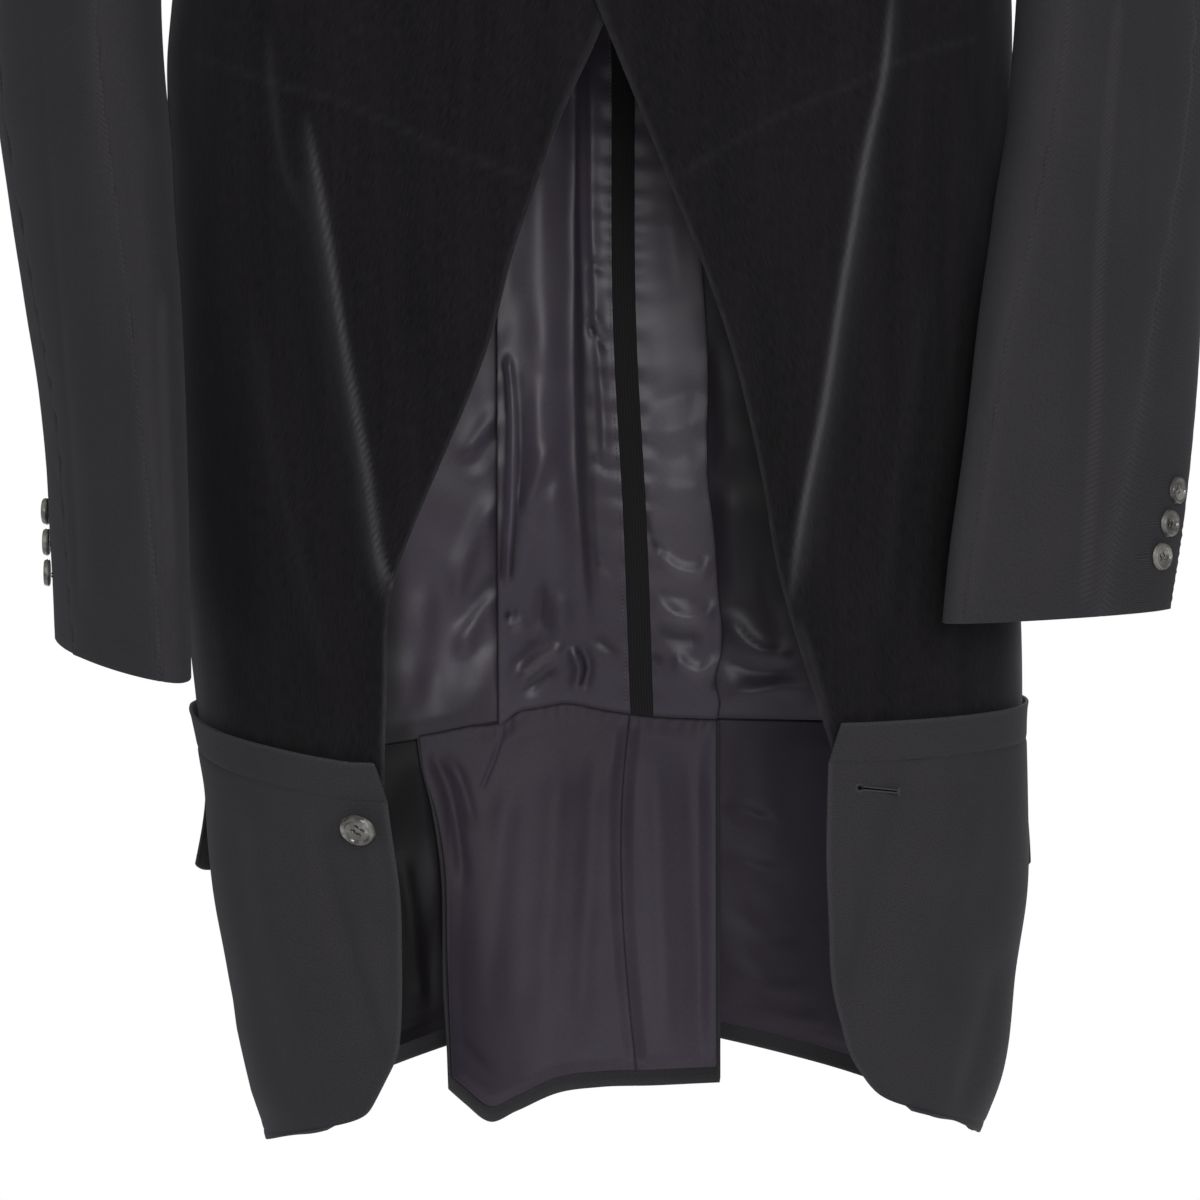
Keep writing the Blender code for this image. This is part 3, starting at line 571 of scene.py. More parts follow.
def shell(name, outer, inner, side, look, marks=None, inner_look=None):
    """Closed cloth wall between two grids of the same size, with rounded edges.

    outer is the side that shows; inner keeps every second row and column. look and inner_look are
    the materials of the two sides. marks: values on the points for the materials to read, by name,
    given for the outer grid.
    """
    rows, columns = outer.shape[:2]
    count = rows * columns
    r, c = rim_loop(rows, columns)
    size = len(r)
    keep_r = np.unique(np.append(np.arange(0, rows, 2), rows - 1))
    keep_c = np.unique(np.append(np.arange(0, columns, 2), columns - 1))
    keep = np.ix_(keep_r, keep_c)
    coarse = np.full((rows, columns), -1)
    coarse[keep] = np.arange(len(keep_r) * len(keep_c)).reshape(len(keep_r), -1)
    inside = inner[keep].reshape(-1, 3)
    points = np.concatenate([outer.reshape(-1, 3), inside] + rounded_rim(outer, inner, r, c))

    front = quads(np.arange(count).reshape(rows, columns))
    back = quads(coarse[keep] + count)[:, [0, 3, 2, 1]]
    first = r * columns + c
    base = count + len(inside)
    rings = [first] + [base + k * size + np.arange(size) for k in range(RIM_STEPS)]
    faces = [front, back]
    for a, b in zip(rings[:-1], rings[1:]):
        faces.append(np.stack([a, b, np.roll(b, -1), np.roll(a, -1)], -1))
    faces = np.concatenate(faces)
    kept = [k for k in range(size) if coarse[r[k], c[k]] >= 0]
    corners = []
    for a, b in zip(kept, kept[1:] + [size]):
        low, high = (count + coarse[r[k % size], c[k % size]] for k in (a, b))
        line = [int(rings[-1][k % size]) for k in range(a, b + 1)]
        corners += [(line[0], low, line[1]), (line[1], low, high)]
        if len(line) > 2:
            corners.append((line[1], high, line[2]))
    corners = np.array(corners)
    if side < 0:
        faces, corners = faces[:, ::-1], corners[:, ::-1]
    loops = np.concatenate([faces.ravel(), corners.ravel()])
    starts = [np.arange(len(faces)) * 4, faces.size + np.arange(len(corners)) * 3]
    starts = np.concatenate(starts)

    mesh = bpy.data.meshes.new(name)
    mesh.vertices.add(len(points))
    mesh.vertices.foreach_set("co", (points * MM).astype(np.float32).ravel())
    mesh.loops.add(len(loops))
    mesh.loops.foreach_set("vertex_index", loops.astype(np.int32))
    mesh.polygons.add(len(starts))
    mesh.polygons.foreach_set("loop_start", starts.astype(np.int32))
    mesh.update(calc_edges=True)

    under = (keep_r[:, None] * columns + keep_c).ravel()

    def on_points(values):
        """Values of the outer grid, for every point of the wall."""
        return np.concatenate([values, values[under]] + [values[first]] * RIM_STEPS)

    from_first, _, from_low, _ = edge_distance(outer)
    place = np.stack([from_first - from_first.mean(), from_low], -1).reshape(-1, 2) * MM
    layer = mesh.uv_layers.new(name="cloth")
    layer.data.foreach_set("uv", on_points(place)[loops].astype(np.float32).ravel())
    for key, value in (marks or {}).items():
        attribute = mesh.attributes.new(key, "FLOAT", "POINT")
        attribute.data.foreach_set("value", on_points(value.reshape(-1)).astype(np.float32))
    mesh.materials.append(LOOKS[look])
    if inner_look is not None:
        mesh.materials.append(LOOKS[inner_look])
        which = np.zeros(len(starts), np.int32)
        which[len(front):len(front) + len(back)] = 1
        mesh.polygons.foreach_set("material_index", which)
    mesh.polygons.foreach_set("use_smooth", np.ones(len(starts), bool))
    mesh.update()
    return linked(name, mesh)


def cloth_piece(name, stands_for, grid, pair, side, look, held="hung", rests=(), **more):
    """Cloth wall of a material, riding on the root, with the part that it stands for hidden; grid, held
    and rests are not used.
    """
    obj = shell(name, *pair, side, look, **more)
    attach(obj, "root")
    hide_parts(stands_for)


# Materials
# Colour that painted shade darkens the linings towards, by the point value dim
DEEP_SHADE = (0.004, 0.0035, 0.0045, 1)


def feed(tree, made, inputs):
    """Give a node's inputs values, or the outputs of other nodes."""
    for key, value in inputs.items():
        if isinstance(value, bpy.types.NodeSocket):
            tree.links.new(value, made.inputs[key])
        else:
            made.inputs[key].default_value = value


def node(tree, kind, inputs=None, **settings):
    made = tree.nodes.new(kind)
    for key, value in settings.items():
        setattr(made, key, value)
    feed(tree, made, inputs or {})
    return made


def mixed(tree, a, b, factor, kind="RGBA"):
    """Output of a mix of two colours or values."""
    inputs = {"Factor": factor, "A": a, "B": b}
    return node(tree, "ShaderNodeMix", inputs, data_type=kind).outputs["Result"]


def scaled(tree, vector, scale, turn=0.0):
    """Output of a mapping node."""
    inputs = {"Rotation": (0, 0, math.radians(turn)), "Scale": scale, "Vector": vector}
    return node(tree, "ShaderNodeMapping", inputs).outputs["Vector"]


def mark_value(tree, key):
    """Output of a value kept on the points."""
    return node(tree, "ShaderNodeAttribute", attribute_name=key).outputs["Fac"]


def calculated(tree, operation, *values, clamp=False):
    inputs = dict(enumerate(values))
    made = node(tree, "ShaderNodeMath", inputs, operation=operation, use_clamp=clamp)
    return made.outputs["Value"]


def new_material(name):
    mat = bpy.data.materials.new(name)
    mat.use_nodes = True
    return mat, mat.node_tree


def cloth_material(name, dark, light, rough, grain, sheen=0.0, sheen_tint=(1, 1, 1),
                   sheen_rough=0.5, bump=0.25, patch=0.3, weave=None, painted_light_and_pale_edge=None, specular=0.5,
                   aniso=0.0, blotch=(14.0, 14.0, 14.0), deep=False, crimp=False):
    """Cloth with two tones, a fine directional grain, a bump and a soft unevenness.

    grain: size of the fine grain across and along the cloth, in millimetres.
    weave: size of a twill or rib line in millimetres, its angle and its strength.
    painted_light_and_pale_edge: colour of painted highlights and sheen, and of paler cloth edges, mixed
    in by the point value of that name.
    deep and crimp: whether the cloth reads the point values for shade and for pressed ripples.
    """
    mat, tree = new_material(name)
    place = node(tree, "ShaderNodeUVMap", uv_map="cloth").outputs["UV"]
    fine = scaled(tree, place, (1000 / grain[0], 1000 / grain[1], 1))
    fibre = node(tree, "ShaderNodeTexNoise", {"Scale": 1.0, "Detail": 3.0, "Vector": fine})
    solid = node(tree, "ShaderNodeTexCoord").outputs["Object"]
    cloud = node(tree, "ShaderNodeTexNoise", {
        "Scale": 1.0, "Detail": 4.0, "Roughness": 0.6, "Vector": scaled(tree, solid, blotch)})

    height = fibre.outputs["Fac"]
    if weave is not None:
        size, angle, strength = weave
        line = node(tree, "ShaderNodeTexWave", {
            "Scale": 0.314, "Distortion": 1.2, "Detail": 2.0, "Detail Scale": 1.5,
            "Vector": scaled(tree, place, (1000 / size, 1000 / size, 1), angle)})
        height = mixed(tree, height, line.outputs["Fac"], strength, "FLOAT")
    if crimp:
        wave = node(tree, "ShaderNodeTexWave", {
            "Scale": 95.0, "Distortion": 3.0, "Detail Scale": 40.0, "Vector": place,
        }, bands_direction="Y")
        drawn = mark_value(tree, "crimp")
        height = calculated(tree, "MULTIPLY_ADD", drawn, wave.outputs["Fac"], height)

    tone = mixed(tree, height, cloud.outputs["Fac"], patch, "FLOAT")
    spread = node(tree, "ShaderNodeMapRange", {"From Min": 0.3, "From Max": 0.7, "Value": tone})
    colour = mixed(tree, (*dark, 1), (*light, 1), spread.outputs["Result"])
    # Painted light: highlights and sheen, and paler cloth edges, lighten the colour by this point value
    if painted_light_and_pale_edge is not None:
        lightening = calculated(tree, "MULTIPLY", mark_value(tree, "painted_light_and_pale_edge"), 1.0, clamp=True)
        uneven = calculated(tree, "MULTIPLY_ADD", tone, 1.1, 0.4)
        lightening = calculated(tree, "MULTIPLY", lightening, uneven, clamp=True)
        colour = mixed(tree, colour, (*painted_light_and_pale_edge, 1), lightening)
    if deep:
        # Painted shade: the colour darkens towards DEEP_SHADE by the point value dim
        colour = mixed(tree, colour, DEEP_SHADE, mark_value(tree, "dim"))
    relief = node(tree, "ShaderNodeBump", {"Strength": bump, "Distance": 0.0003, "Height": height})
    feed(tree, tree.nodes["Principled BSDF"], {
        "Base Color": colour,
        "Normal": relief.outputs["Normal"],
        "Roughness": rough,
        "Sheen Weight": sheen,
        "Sheen Tint": (*sheen_tint, 1),
        "Sheen Roughness": sheen_rough,
        "Specular IOR Level": specular,
        "Anisotropic": aniso,
    })
    return mat


def horn_material():
    """Smoky mottled shell, polished."""
    mat, tree = new_material("horn")
    solid = node(tree, "ShaderNodeTexCoord").outputs["Object"]
    swirl = node(tree, "ShaderNodeTexNoise", {
        "Scale": 95.0, "Detail": 5.0, "Distortion": 0.8, "Vector": solid})
    ramp = node(tree, "ShaderNodeValToRGB", {"Fac": swirl.outputs["Fac"]})
    stops = ramp.color_ramp.elements
    stops[0].position, stops[0].color = 0.34, (0.040, 0.039, 0.036, 1)
    stops[1].position, stops[1].color = 0.68, (0.30, 0.295, 0.27, 1)
    stops.new(0.5).color = (0.115, 0.112, 0.104, 1)
    feed(tree, tree.nodes["Principled BSDF"], {
        "Base Color": ramp.outputs["Color"],
        "Roughness": 0.24,
        "Coat Weight": 0.6,
        "Coat Roughness": 0.06,
    })
    return mat


LOOKS = {
    "velvet": cloth_material(
        "velvet", (0.0042, 0.0038, 0.0044), (0.0155, 0.0138, 0.0154), 0.95, (0.7, 7.0),
        sheen=0.16, sheen_tint=(0.85, 0.83, 0.95), sheen_rough=0.42, bump=0.4, patch=0.35,
        painted_light_and_pale_edge=(0.062, 0.060, 0.066), specular=0.1, blotch=(55.0, 55.0, 5.0)),
    "wool": cloth_material(
        "wool", (0.0165, 0.0155, 0.018), (0.041, 0.0385, 0.042), 0.85, (0.9, 0.9),
        sheen=0.06, sheen_tint=(0.9, 0.9, 1.0), sheen_rough=0.5, bump=0.55, patch=0.15,
        weave=(1.2, 62, 0.24), painted_light_and_pale_edge=(0.075, 0.073, 0.076), specular=0.2, crimp=True),
    "satin": cloth_material(
        "satin", (0.050, 0.0405, 0.057), (0.080, 0.066, 0.090), 0.38, (0.5, 3.0),
        sheen=0.05, sheen_tint=(0.9, 0.85, 1.0), bump=0.12, patch=0.45,
        painted_light_and_pale_edge=(0.16, 0.145, 0.17), specular=0.30, aniso=0.4,
        blotch=(16.0, 16.0, 8.0), deep=True),
    # Shaded copy of the satin: painted shade as a darker, less glossy satin for the skirt linings deep
    # inside
    "satin_inside": cloth_material(
        "satin_inside", (0.048, 0.039, 0.054), (0.074, 0.061, 0.083), 0.46, (0.5, 3.0),
        bump=0.12, patch=0.45, specular=0.11, blotch=(16.0, 16.0, 8.0), deep=True),
    "pick": cloth_material(
        "pick", (0.13, 0.12, 0.135), (0.20, 0.185, 0.21), 0.45, (0.2, 0.8), bump=0.3, patch=0.1),
    "tape": cloth_material(
        "tape", (0.011, 0.0105, 0.0115), (0.020, 0.019, 0.021), 0.8, (0.6, 0.8), bump=0.5, patch=0.1,
        weave=(1.6, 0, 0.5), specular=0.2),
    # Near-black thread; on the buttons its darkness also stands in for the shade in the holes
    "thread": cloth_material(
        "thread", (0.004, 0.004, 0.0042), (0.009, 0.009, 0.0095), 0.6, (0.2, 0.8),
        bump=0.3, patch=0.1),
    "wool_thread": cloth_material(
        "wool_thread", (0.034, 0.034, 0.0345), (0.052, 0.052, 0.0525), 0.6, (0.3, 0.8),
        bump=0.3, patch=0.1, specular=0.3),
    "shade": cloth_material(
        "shade", (0.0015, 0.0015, 0.0015), (0.003, 0.003, 0.003), 0.95, (0.3, 0.8), specular=0.0),
    "horn": horn_material(),
}


def small_part(name, points, faces, look, slot, place=None):
    """Button, thread or stitching: a mesh that rides on the jacket."""
    mesh = bpy.data.meshes.new(name)
    mesh.from_pydata([tuple(np.asarray(p) * MM) for p in points], [], faces)
    mesh.update()
    for polygon in mesh.polygons:
        polygon.use_smooth = True
    mesh.materials.append(LOOKS[look])
    layer = mesh.uv_layers.new(name="cloth")
    for loop in mesh.loops:
        spot = mesh.vertices[loop.vertex_index].co
        layer.data[loop.index].uv = (spot.x, spot.y)
    obj = linked(name, mesh)
    if place is not None:
        mesh.transform(place)
        mesh.update()
    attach(obj, "root")
    return obj


def tube(points, radius, sides=8):
    """Points and faces of a round thread along a line."""
    points = np.array(points, float)
    ahead = unit(np.gradient(points, axis=0))
    guide = np.array([0.0, 0.0, 1.0]) if abs(ahead[0][2]) < 0.9 else np.array([1.0, 0, 0])
    out, faces = [], []
    for spot, way in zip(points, ahead):
        across = unit(np.cross(way, guide))
        over = np.cross(across, way)
        for k in range(sides):
            a = 2 * np.pi * k / sides
            out.append(spot + radius * (math.cos(a) * across + math.sin(a) * over))
    for i in range(0, (len(points) - 1) * sides, sides):
        for k in range(sides):
            n = (k + 1) % sides
            faces.append((i + k, i + n, i + sides + n, i + sides + k))
    faces.append(tuple(range(sides))[::-1])
    faces.append(tuple((len(points) - 1) * sides + k for k in range(sides)))
    return out, faces


def merged(parts):
    """Points and faces of several meshes in one."""
    points, faces = [], []
    for some, more in parts:
        faces += [tuple(i + len(points) for i in face) for face in more]
        points += some
    return points, faces


# Pieces
FRONT_COLUMNS = 145
POINTS_FINE = 6
FOLD_SHADE = 1.45


def painted_patches(grid, spots):
    """Strongest of soft areas of the front view, used as painted shade and painted light: (column, row,
    half width, half height, much).
    """
    column, row = front_view(grid)
    total = np.zeros(column.shape)
    for x, y, wide, high, much in spots:
        near = np.exp(-np.abs((column - x) / wide) ** 3 - np.abs((row - y) / high) ** 4)
        total = np.maximum(total, much * near)
    return total


def seam_dark(*distances):
    """Shade of a sewn line, from the distances to it."""
    return 0.62 * bell(np.minimum.reduce(distances), 1.1)


def fold_dark(grid):
    """Shade in the folds of the lining."""
    return np.clip(FOLD_SHADE * stroke_field(grid, LINING_SHADE), 0, 0.75)


def lightening(distance, much=0.22, width=0.9):
    """Paler colour along a cloth edge."""
    return much * bell(distance, width)


def seam_roll(grid, sides, depth=0.5, width=1.4):
    """Sinking of the cloth along its sewn edges."""
    distances = edge_distance(grid)
    return sum(-depth * on * bell(distance, width) for on, distance in zip(sides, distances))


def pucker(grid, sides, height, wave, width, seed):
    """Small ripples square to a sewn edge."""
    first, last, low, high = edge_distance(grid)
    total = np.zeros(first.shape)
    runs = (low, low, first, first)
    state = np.random.RandomState(seed)
    for on, distance, run in zip(sides, (first, last, low, high), runs):
        if on:
            a, b = state.rand(2) * 6
            wobble = np.sin(run / wave * 2 * np.pi + 2.2 * np.sin(run / wave / 3.1 + a) + b)
            strength = 0.6 + 0.4 * np.sin(run / wave / 2.3 + b)
            total += height * wobble * strength * np.exp(-np.abs(distance) / width)
    return total


def fine_pair(grid, side, thick, detail, gaps=(0, 0, 0, 0), normal=None):
    """Outer and inner grids of a cloth wall, with the detail moved along the normals.

    gaps: how far the first, last, low and high edge draws back from its seam.
    """
    if normal is None:
        normal = normals(grid, side)
    move = detail[..., None] * unit(normal)
    pair = [grid + move, grid - thick * normal + move]
    first, last, low, high = gaps
    for g in pair:
        g[:, 0] += first * unit(g[:, 1] - g[:, 0])
        g[:, -1] += last * unit(g[:, -2] - g[:, -1])
        g[0] += low * unit(g[1] - g[0])
        g[-1] += high * unit(g[-2] - g[-1])
    return pair


# Strokes of the front view: width before, width after, height, taper and line
RIDGE_RIGHT = [
    (307, 110), (316, 160), (328, 230), (343, 330), (361, 430), (372, 500), (379, 560), (388, 606),
]
RIDGE_LEFT = [
    (880, 80), (865, 150), (849, 240), (836, 320), (824, 400), (808, 480), (797, 545), (789, 610),
]
VELVET_STROKES = [
    # wearer's right (left of the view): main crease with its fork, then the front edge
    (9, 13, 1.6, 60, RIDGE_RIGHT),
    (4, 5, 1.2, 20, [(376, 540), (392, 578), (402, 590)]),
    (14, 14, -1.8, 80, [(350, 250), (372, 380), (392, 470), (404, 520)]),
    (14, 10, 1.0, 70, [(270, 30), (280, 120), (296, 205), (330, 300)]),
    (12, 16, -1.0, 90, [(240, 120), (262, 260), (300, 420), (330, 560)]),
    (16, 16, 1.0, 80, [(230, 420), (262, 540), (300, 660), (318, 740)]),
    (12, 12, -0.8, 60, [(215, 600), (240, 660), (262, 720)]),
    (6, 8, 0.9, 40, [(392, 600), (388, 640), (386, 700), (383, 770)]),
    # wearer's left (right of the view)
    (13, 9, 1.7, 60, [(889, 20), *RIDGE_LEFT]),
    (14, 14, -1.6, 70, [(800, 330), (793, 420), (786, 500), (781, 560)]),
    (14, 14, 1.0, 70, [(960, 80), (930, 220), (905, 360), (880, 480)]),
    (16, 16, -1.0, 80, [(930, 300), (895, 450), (850, 600), (835, 690)]),
    (14, 14, 0.9, 60, [(985, 400), (960, 560), (930, 690)]),
    (8, 8, 0.8, 40, [(800, 610), (812, 660), (832, 730)]),
]
# Painted sheen: lighter velvet along the creases and soft ridges, and along faint pale pressed lines,
# where the pile catches the light
VELVET_SHEEN_LINES = [
    (2.4, 2.4, 0.66, 60, RIDGE_RIGHT),
    (4.0, 9, 0.26, 50, RIDGE_RIGHT),
    (2.0, 3, 0.75, 18, [(379, 545), (388, 575), (401, 592)]),
    (6, 16, 0.14, 50, [(314, 160), (342, 330), (371, 500), (388, 600)]),
    (4, 4, 0.28, 40, [(392, 600), (388, 650), (386, 700), (382, 772)]),
    (5, 5, 0.16, 40, [(268, 20), (276, 100), (288, 170), (308, 220)]),
    (9, 5.0, 0.26, 50, [(893, -30), (887, 30), *RIDGE_LEFT]),
    (2.8, 2.6, 0.8, 110, [(894, -50), (887, 30), *RIDGE_LEFT]),
    (18, 6, 0.14, 60, [(866, 120), (837, 320), (811, 480), (794, 590)]),
    (4, 4, 0.22, 30, [(797, 610), (812, 660), (832, 735)]),
    (3.2, 3.2, 0.09, 20, [(180, 50), (280, 85), (350, 105), (470, 158), (540, 180)]),
    (3.2, 3.2, 0.09, 20, [(990, 35), (900, 60), (850, 85), (770, 120), (670, 180)]),
    (7, 7, 0.07, 60, [(205, 560), (215, 640), (222, 700)]),
    (9, 9, 0.06, 60, [(250, 300), (280, 480), (330, 690)]),
    (9, 9, 0.06, 60, [(930, 250), (900, 450), (880, 640)]),
]


def sleeve_point(side, row, angle):
    """Point of a sleeve's section and the direction out of it, by the angle round it."""
    z, x, y, deep, thin, twist, slant = row
    twist = math.radians(twist)
    ahead = np.array([-side * math.sin(twist), -math.cos(twist), 0])
    aside = np.array([side * math.cos(twist), -math.sin(twist), 0])
    sine, cosine = np.sin(angle)[..., None], np.cos(angle)[..., None]
    spot = np.array([side * x, y, z]) + deep * sine * ahead + thin * cosine * aside
    spot[..., 2] -= slant * np.sin(angle)
    return spot, unit(sine / deep * ahead + cosine / thin * aside)


def fine_places(middle, count, top):
    """Places of fine rows: some up to the underarm row, and 57 from there to the shoulder."""
    return np.unique(np.concatenate([np.linspace(0, middle, count), np.linspace(middle, top, 57)]))


class Arm:
    """Armhole of one side: the seam's line, the nets beside it and the sleeve."""

    def __init__(self, side):
        self.side = side
        self.front = front_net(side, FRONT_COLUMNS)
        self.back = back_net(side, 71)
        self.count = SLEEVE_POINTS * POINTS_FINE
        p = np.arange(self.count) / POINTS_FINE
        self.before = p <= HALF_SLEEVE
        self.front_row = np.clip(FRONT_TOP_ROW - p / 2, FRONT_ARM_ROW, FRONT_TOP_ROW)
        self.back_row = np.clip(BACK_ARM_ROW + (p - HALF_SLEEVE) / 2, BACK_ARM_ROW, BACK_TOP_ROW)
        front_line = spline_weights(FRONT_TOP_ROW + 1, self.front_row) @ self.front[:, -1]
        back_line = spline_weights(BACK_TOP_ROW + 1, self.back_row) @ self.back[:, 0]
        self.rim = np.where(self.before[:, None], front_line, back_line)
        self.front_places = fine_places(FRONT_ARM_ROW, 131, FRONT_TOP_ROW)
        self.back_places = fine_places(BACK_ARM_ROW, 85, BACK_TOP_ROW)
        self.front_fine = fine_rows(self.front, self.front_places)
        self.back_fine = fine_rows(self.back, self.back_places)
        self.front_normal = normals(self.front_fine, side)
        self.back_normal = normals(self.back_fine, side)
        body = unit(np.where(
            self.before[:, None],
            self.along(self.front_row, self.front_places, self.front_normal[:, -1]),
            self.along(self.back_row, self.back_places, self.back_normal[:, 0])))
        self.net = self.sleeve()
        across = (np.roll(self.net, -1, axis=1) - np.roll(self.net, 1, axis=1)) / 2
        down = np.gradient(self.net, axis=0, edge_order=2)
        self.normal = unit(side * np.cross(across, down))
        both = unit(body + self.normal[0])
        self.shared = both / np.clip((both * body).sum(-1, keepdims=True), 0.62, 1)
        self.normal[0] = self.shared

    @staticmethod
    def along(at, places, values):
        return np.stack([np.interp(at, places, values[:, i]) for i in range(3)], -1)

    def sleeve(self):
        """Fine rows of the sleeve, from the armhole over the cap to the cuff."""
        angle = np.arange(self.count) * 2 * np.pi / self.count
        rings = [sleeve_point(self.side, row, angle)[0] for row in SLEEVE[self.side]]
        rim, upper_arm = self.rim, rings[0]
        top = ((1 + np.cos(angle)) / 2)[:, None]
        bend = rim + (0.86 - 0.1 * top) * (upper_arm - rim)
        bend[:, 2] = rim[:, 2] + 0.12 * (upper_arm[:, 2] - rim[:, 2])
        cap = [(1 - t) ** 2 * rim + 2 * t * (1 - t) * bend + t * t * upper_arm for t in CAP_STEPS]
        net = np.array(cap + rings)
        for _ in range(2):
            net[1:9] = (net[0:8] + 2 * net[1:9] + net[2:10]) / 4
        net[0] += (SEAM + 0.25) * unit(net[1] - net[0])
        return fine_rows(net, np.linspace(0, len(net) - 1, 109))


# Panels of the sleeve, with their first and last place in the ring
SLEEVE_PANELS = [
    ("front", ELBOW_LINE, FORE_SEAM),
    ("elbow", HIND_SEAM, ELBOW_LINE),
    ("under", FORE_SEAM, SLEEVE_POINTS + HIND_SEAM),
]
SLEEVE_CRIMPS = [
    (4, 4, 0.9, 20, [(163, 290), (166, 420), (171, 570)]),
    (4, 4, 0.8, 20, [(1115, 0), (1105, 150), (1098, 260), (1092, 440), (1085, 605)]),
    (7, 7, 0.6, 20, [(982, 400), (976, 500), (966, 600)]),
]
SLEEVE_STROKES = [
    # wearer's right sleeve (left of the view)
    (14, 14, -1.1, 60, [(105, 40), (112, 200), (120, 380), (128, 520)]),
    (16, 16, 1.0, 60, [(140, 120), (146, 300), (150, 470), (152, 620)]),
    (10, 10, -0.9, 50, [(160, 300), (163, 420), (170, 560)]),
    (12, 12, 0.8, 40, [(90, 420), (96, 520), (104, 620)]),
    (4.5, 4.5, -0.35, 20, [(42, 0), (50, 150), (60, 300), (75, 500), (80, 600)]),
    # wearer's left sleeve (right of the view)
    (14, 14, -1.0, 60, [(1040, 60), (1034, 220), (1022, 400), (1008, 560)]),
    (16, 16, 1.1, 60, [(1070, 120), (1066, 300), (1060, 470), (1052, 600)]),
    (10, 10, 0.9, 50, [(1140, 40), (1138, 220), (1130, 420)]),
    (4.5, 4.5, -0.4, 20, [(1115, 0), (1105, 150), (1098, 260), (1092, 440), (1085, 610)]),
    (10, 10, -0.8, 40, [(985, 300), (975, 420), (965, 560)]),
]


def build_velvet(arm):
    side, grid, word = arm.side, arm.front_fine, WORD[arm.side]
    first, last, low, high = edge_distance(grid)
    detail = stroke_field(grid, VELVET_STROKES)
    detail += 0.55 * ripple(grid, 4 + side, 95, (1, 0.4, 0.45))
    detail += 0.25 * ripple(grid, 14 + side, 42, (1, 0.4, 0.3))
    detail = detail * ease((last, 26), (high, 22)) * (0.35 + 0.65 * ease((first, 12)))
    detail = detail * (1 - 0.85 * smooth_step(60, 0, low) * ease((first, 40)))
    detail += seam_roll(grid, (0, 1, 0, 1), 0.55, 1.5)
    detail += pucker(grid, (0, 1, 0, 0), 0.25, 11, 6, 3)
    start = np.searchsorted(arm.front_places, FRONT_ARM_ROW)
    down = FRONT_TOP_ROW - arm.front_places[start:]
    seam_down = (FRONT_TOP_ROW - arm.front_row)[arm.before]
    normal = arm.front_normal.copy()
    normal[start:, -1] = arm.along(down, seam_down, arm.shared[arm.before])
    gaps = (0, HALF_SEAM, HALF_SEAM, HALF_SEAM)
    pair = fine_pair(grid, side, WOOL, detail, gaps, normal)
    # Painted sheen along the creases, and a paler front edge
    painted_light_and_pale_edge = stroke_field(grid, VELVET_SHEEN_LINES) + lightening(first, 0.2, 1.0)
    cloth_piece(f"velvet_{word}", f"velvet_front_{word}", grid, pair, side, "velvet",
                marks={"painted_light_and_pale_edge": painted_light_and_pale_edge}, inner_look="satin")


def build_back(arm):
    side, grid, word = arm.side, arm.back_fine, WORD[arm.side]
    first, last, low, high = edge_distance(grid)
    detail = 0.9 * ripple(grid, 30 + side, 120, (1, 0.3, 0.35))
    detail += 0.3 * ripple(grid, 40 + side, 50, (1, 0.3, 0.3))
    detail = detail * ease((first, 24), (last, 24), (high, 24)) * (0.2 + 0.8 * ease((low, 40)))
    detail += seam_roll(grid, (1, 1, 0, 1), 0.55, 1.5)
    detail += pucker(grid, (1, 1, 0, 0), 0.22, 12, 6, 5)
    start = np.searchsorted(arm.back_places, BACK_ARM_ROW)
    after = ~arm.before
    seam_rows = np.concatenate([[BACK_ARM_ROW], arm.back_row[after], [BACK_TOP_ROW]])
    shared = np.concatenate([arm.shared[arm.before][-1:], arm.shared[after], arm.shared[:1]])
    normal = arm.back_normal.copy()
    normal[start:, 0] = arm.along(arm.back_places[start:], seam_rows, shared)
    normal[:-8, -1, 0] = 0
    pair = fine_pair(grid, side, WOOL, detail, (HALF_SEAM,) * 4, normal)
    cloth_piece(f"back_{word}", f"upper_back_{word}", grid, pair, side, "wool", inner_look="satin")


def build_sleeve(arm):
    side, net, normal = arm.side, arm.net, arm.normal
    z, aside = net[..., 2], normal[..., 0]
    _, _, from_rim, to_hem = edge_distance(net)
    facing = smooth_step(0.05, 0.5, -normal[..., 1])
    detail = 1.8 * stroke_field(net, SLEEVE_STROKES) * facing
    detail += 0.8 * ripple(net, 50 + side, 110, (1, 1, 0.5))
    detail += 0.25 * ripple(net, 60 + side, 45, (1, 1, 0.4))
    detail = detail * ease((from_rim, 30)) * (0.45 + 0.55 * ease((to_hem, 40)))
    elbow = smooth_step(-330, -400, z) * smooth_step(-480, -400, z)
    detail += 0.7 * elbow * np.sin(z / 15 + 2 * aside) * smooth_step(0.2, 0.7, -side * aside)
    detail += 0.5 * np.exp(-from_rim / 16) * ease((from_rim, 3)) * smooth_step(-180, -90, z)
    for label, start, stop in SLEEVE_PANELS:
        pick = np.arange(start * POINTS_FINE, stop * POINTS_FINE + 1) % arm.count
        part = net[:, pick]
        first, last, _, _ = edge_distance(part)
        own = detail[:, pick] + seam_roll(part, (1, 1, 1, 0), 0.45, 1.2)
        own += pucker(part, (1, 0, 0, 0), 1.0, 9, 7, 7 + side)
        own += pucker(part, (0, 1, 0, 0), 1.0, 9, 7, 9 + side)
        gaps = (HALF_SEAM, HALF_SEAM, 0, 0)
        pair = fine_pair(part, side, WOOL, own, gaps, normal[:, pick])
        crimps = stroke_field(part, SLEEVE_CRIMPS) * facing[:, pick]
        crimps += 0.6 * np.exp(-first / 4) + 0.5 * np.exp(-last / 4)
        name = f"{label}_{WORD[side]}"
        cloth_piece(f"arm_{name}", f"sleeve_{name}", part, pair, side, "wool",
                    marks={"crimp": crimps}, inner_look="satin")


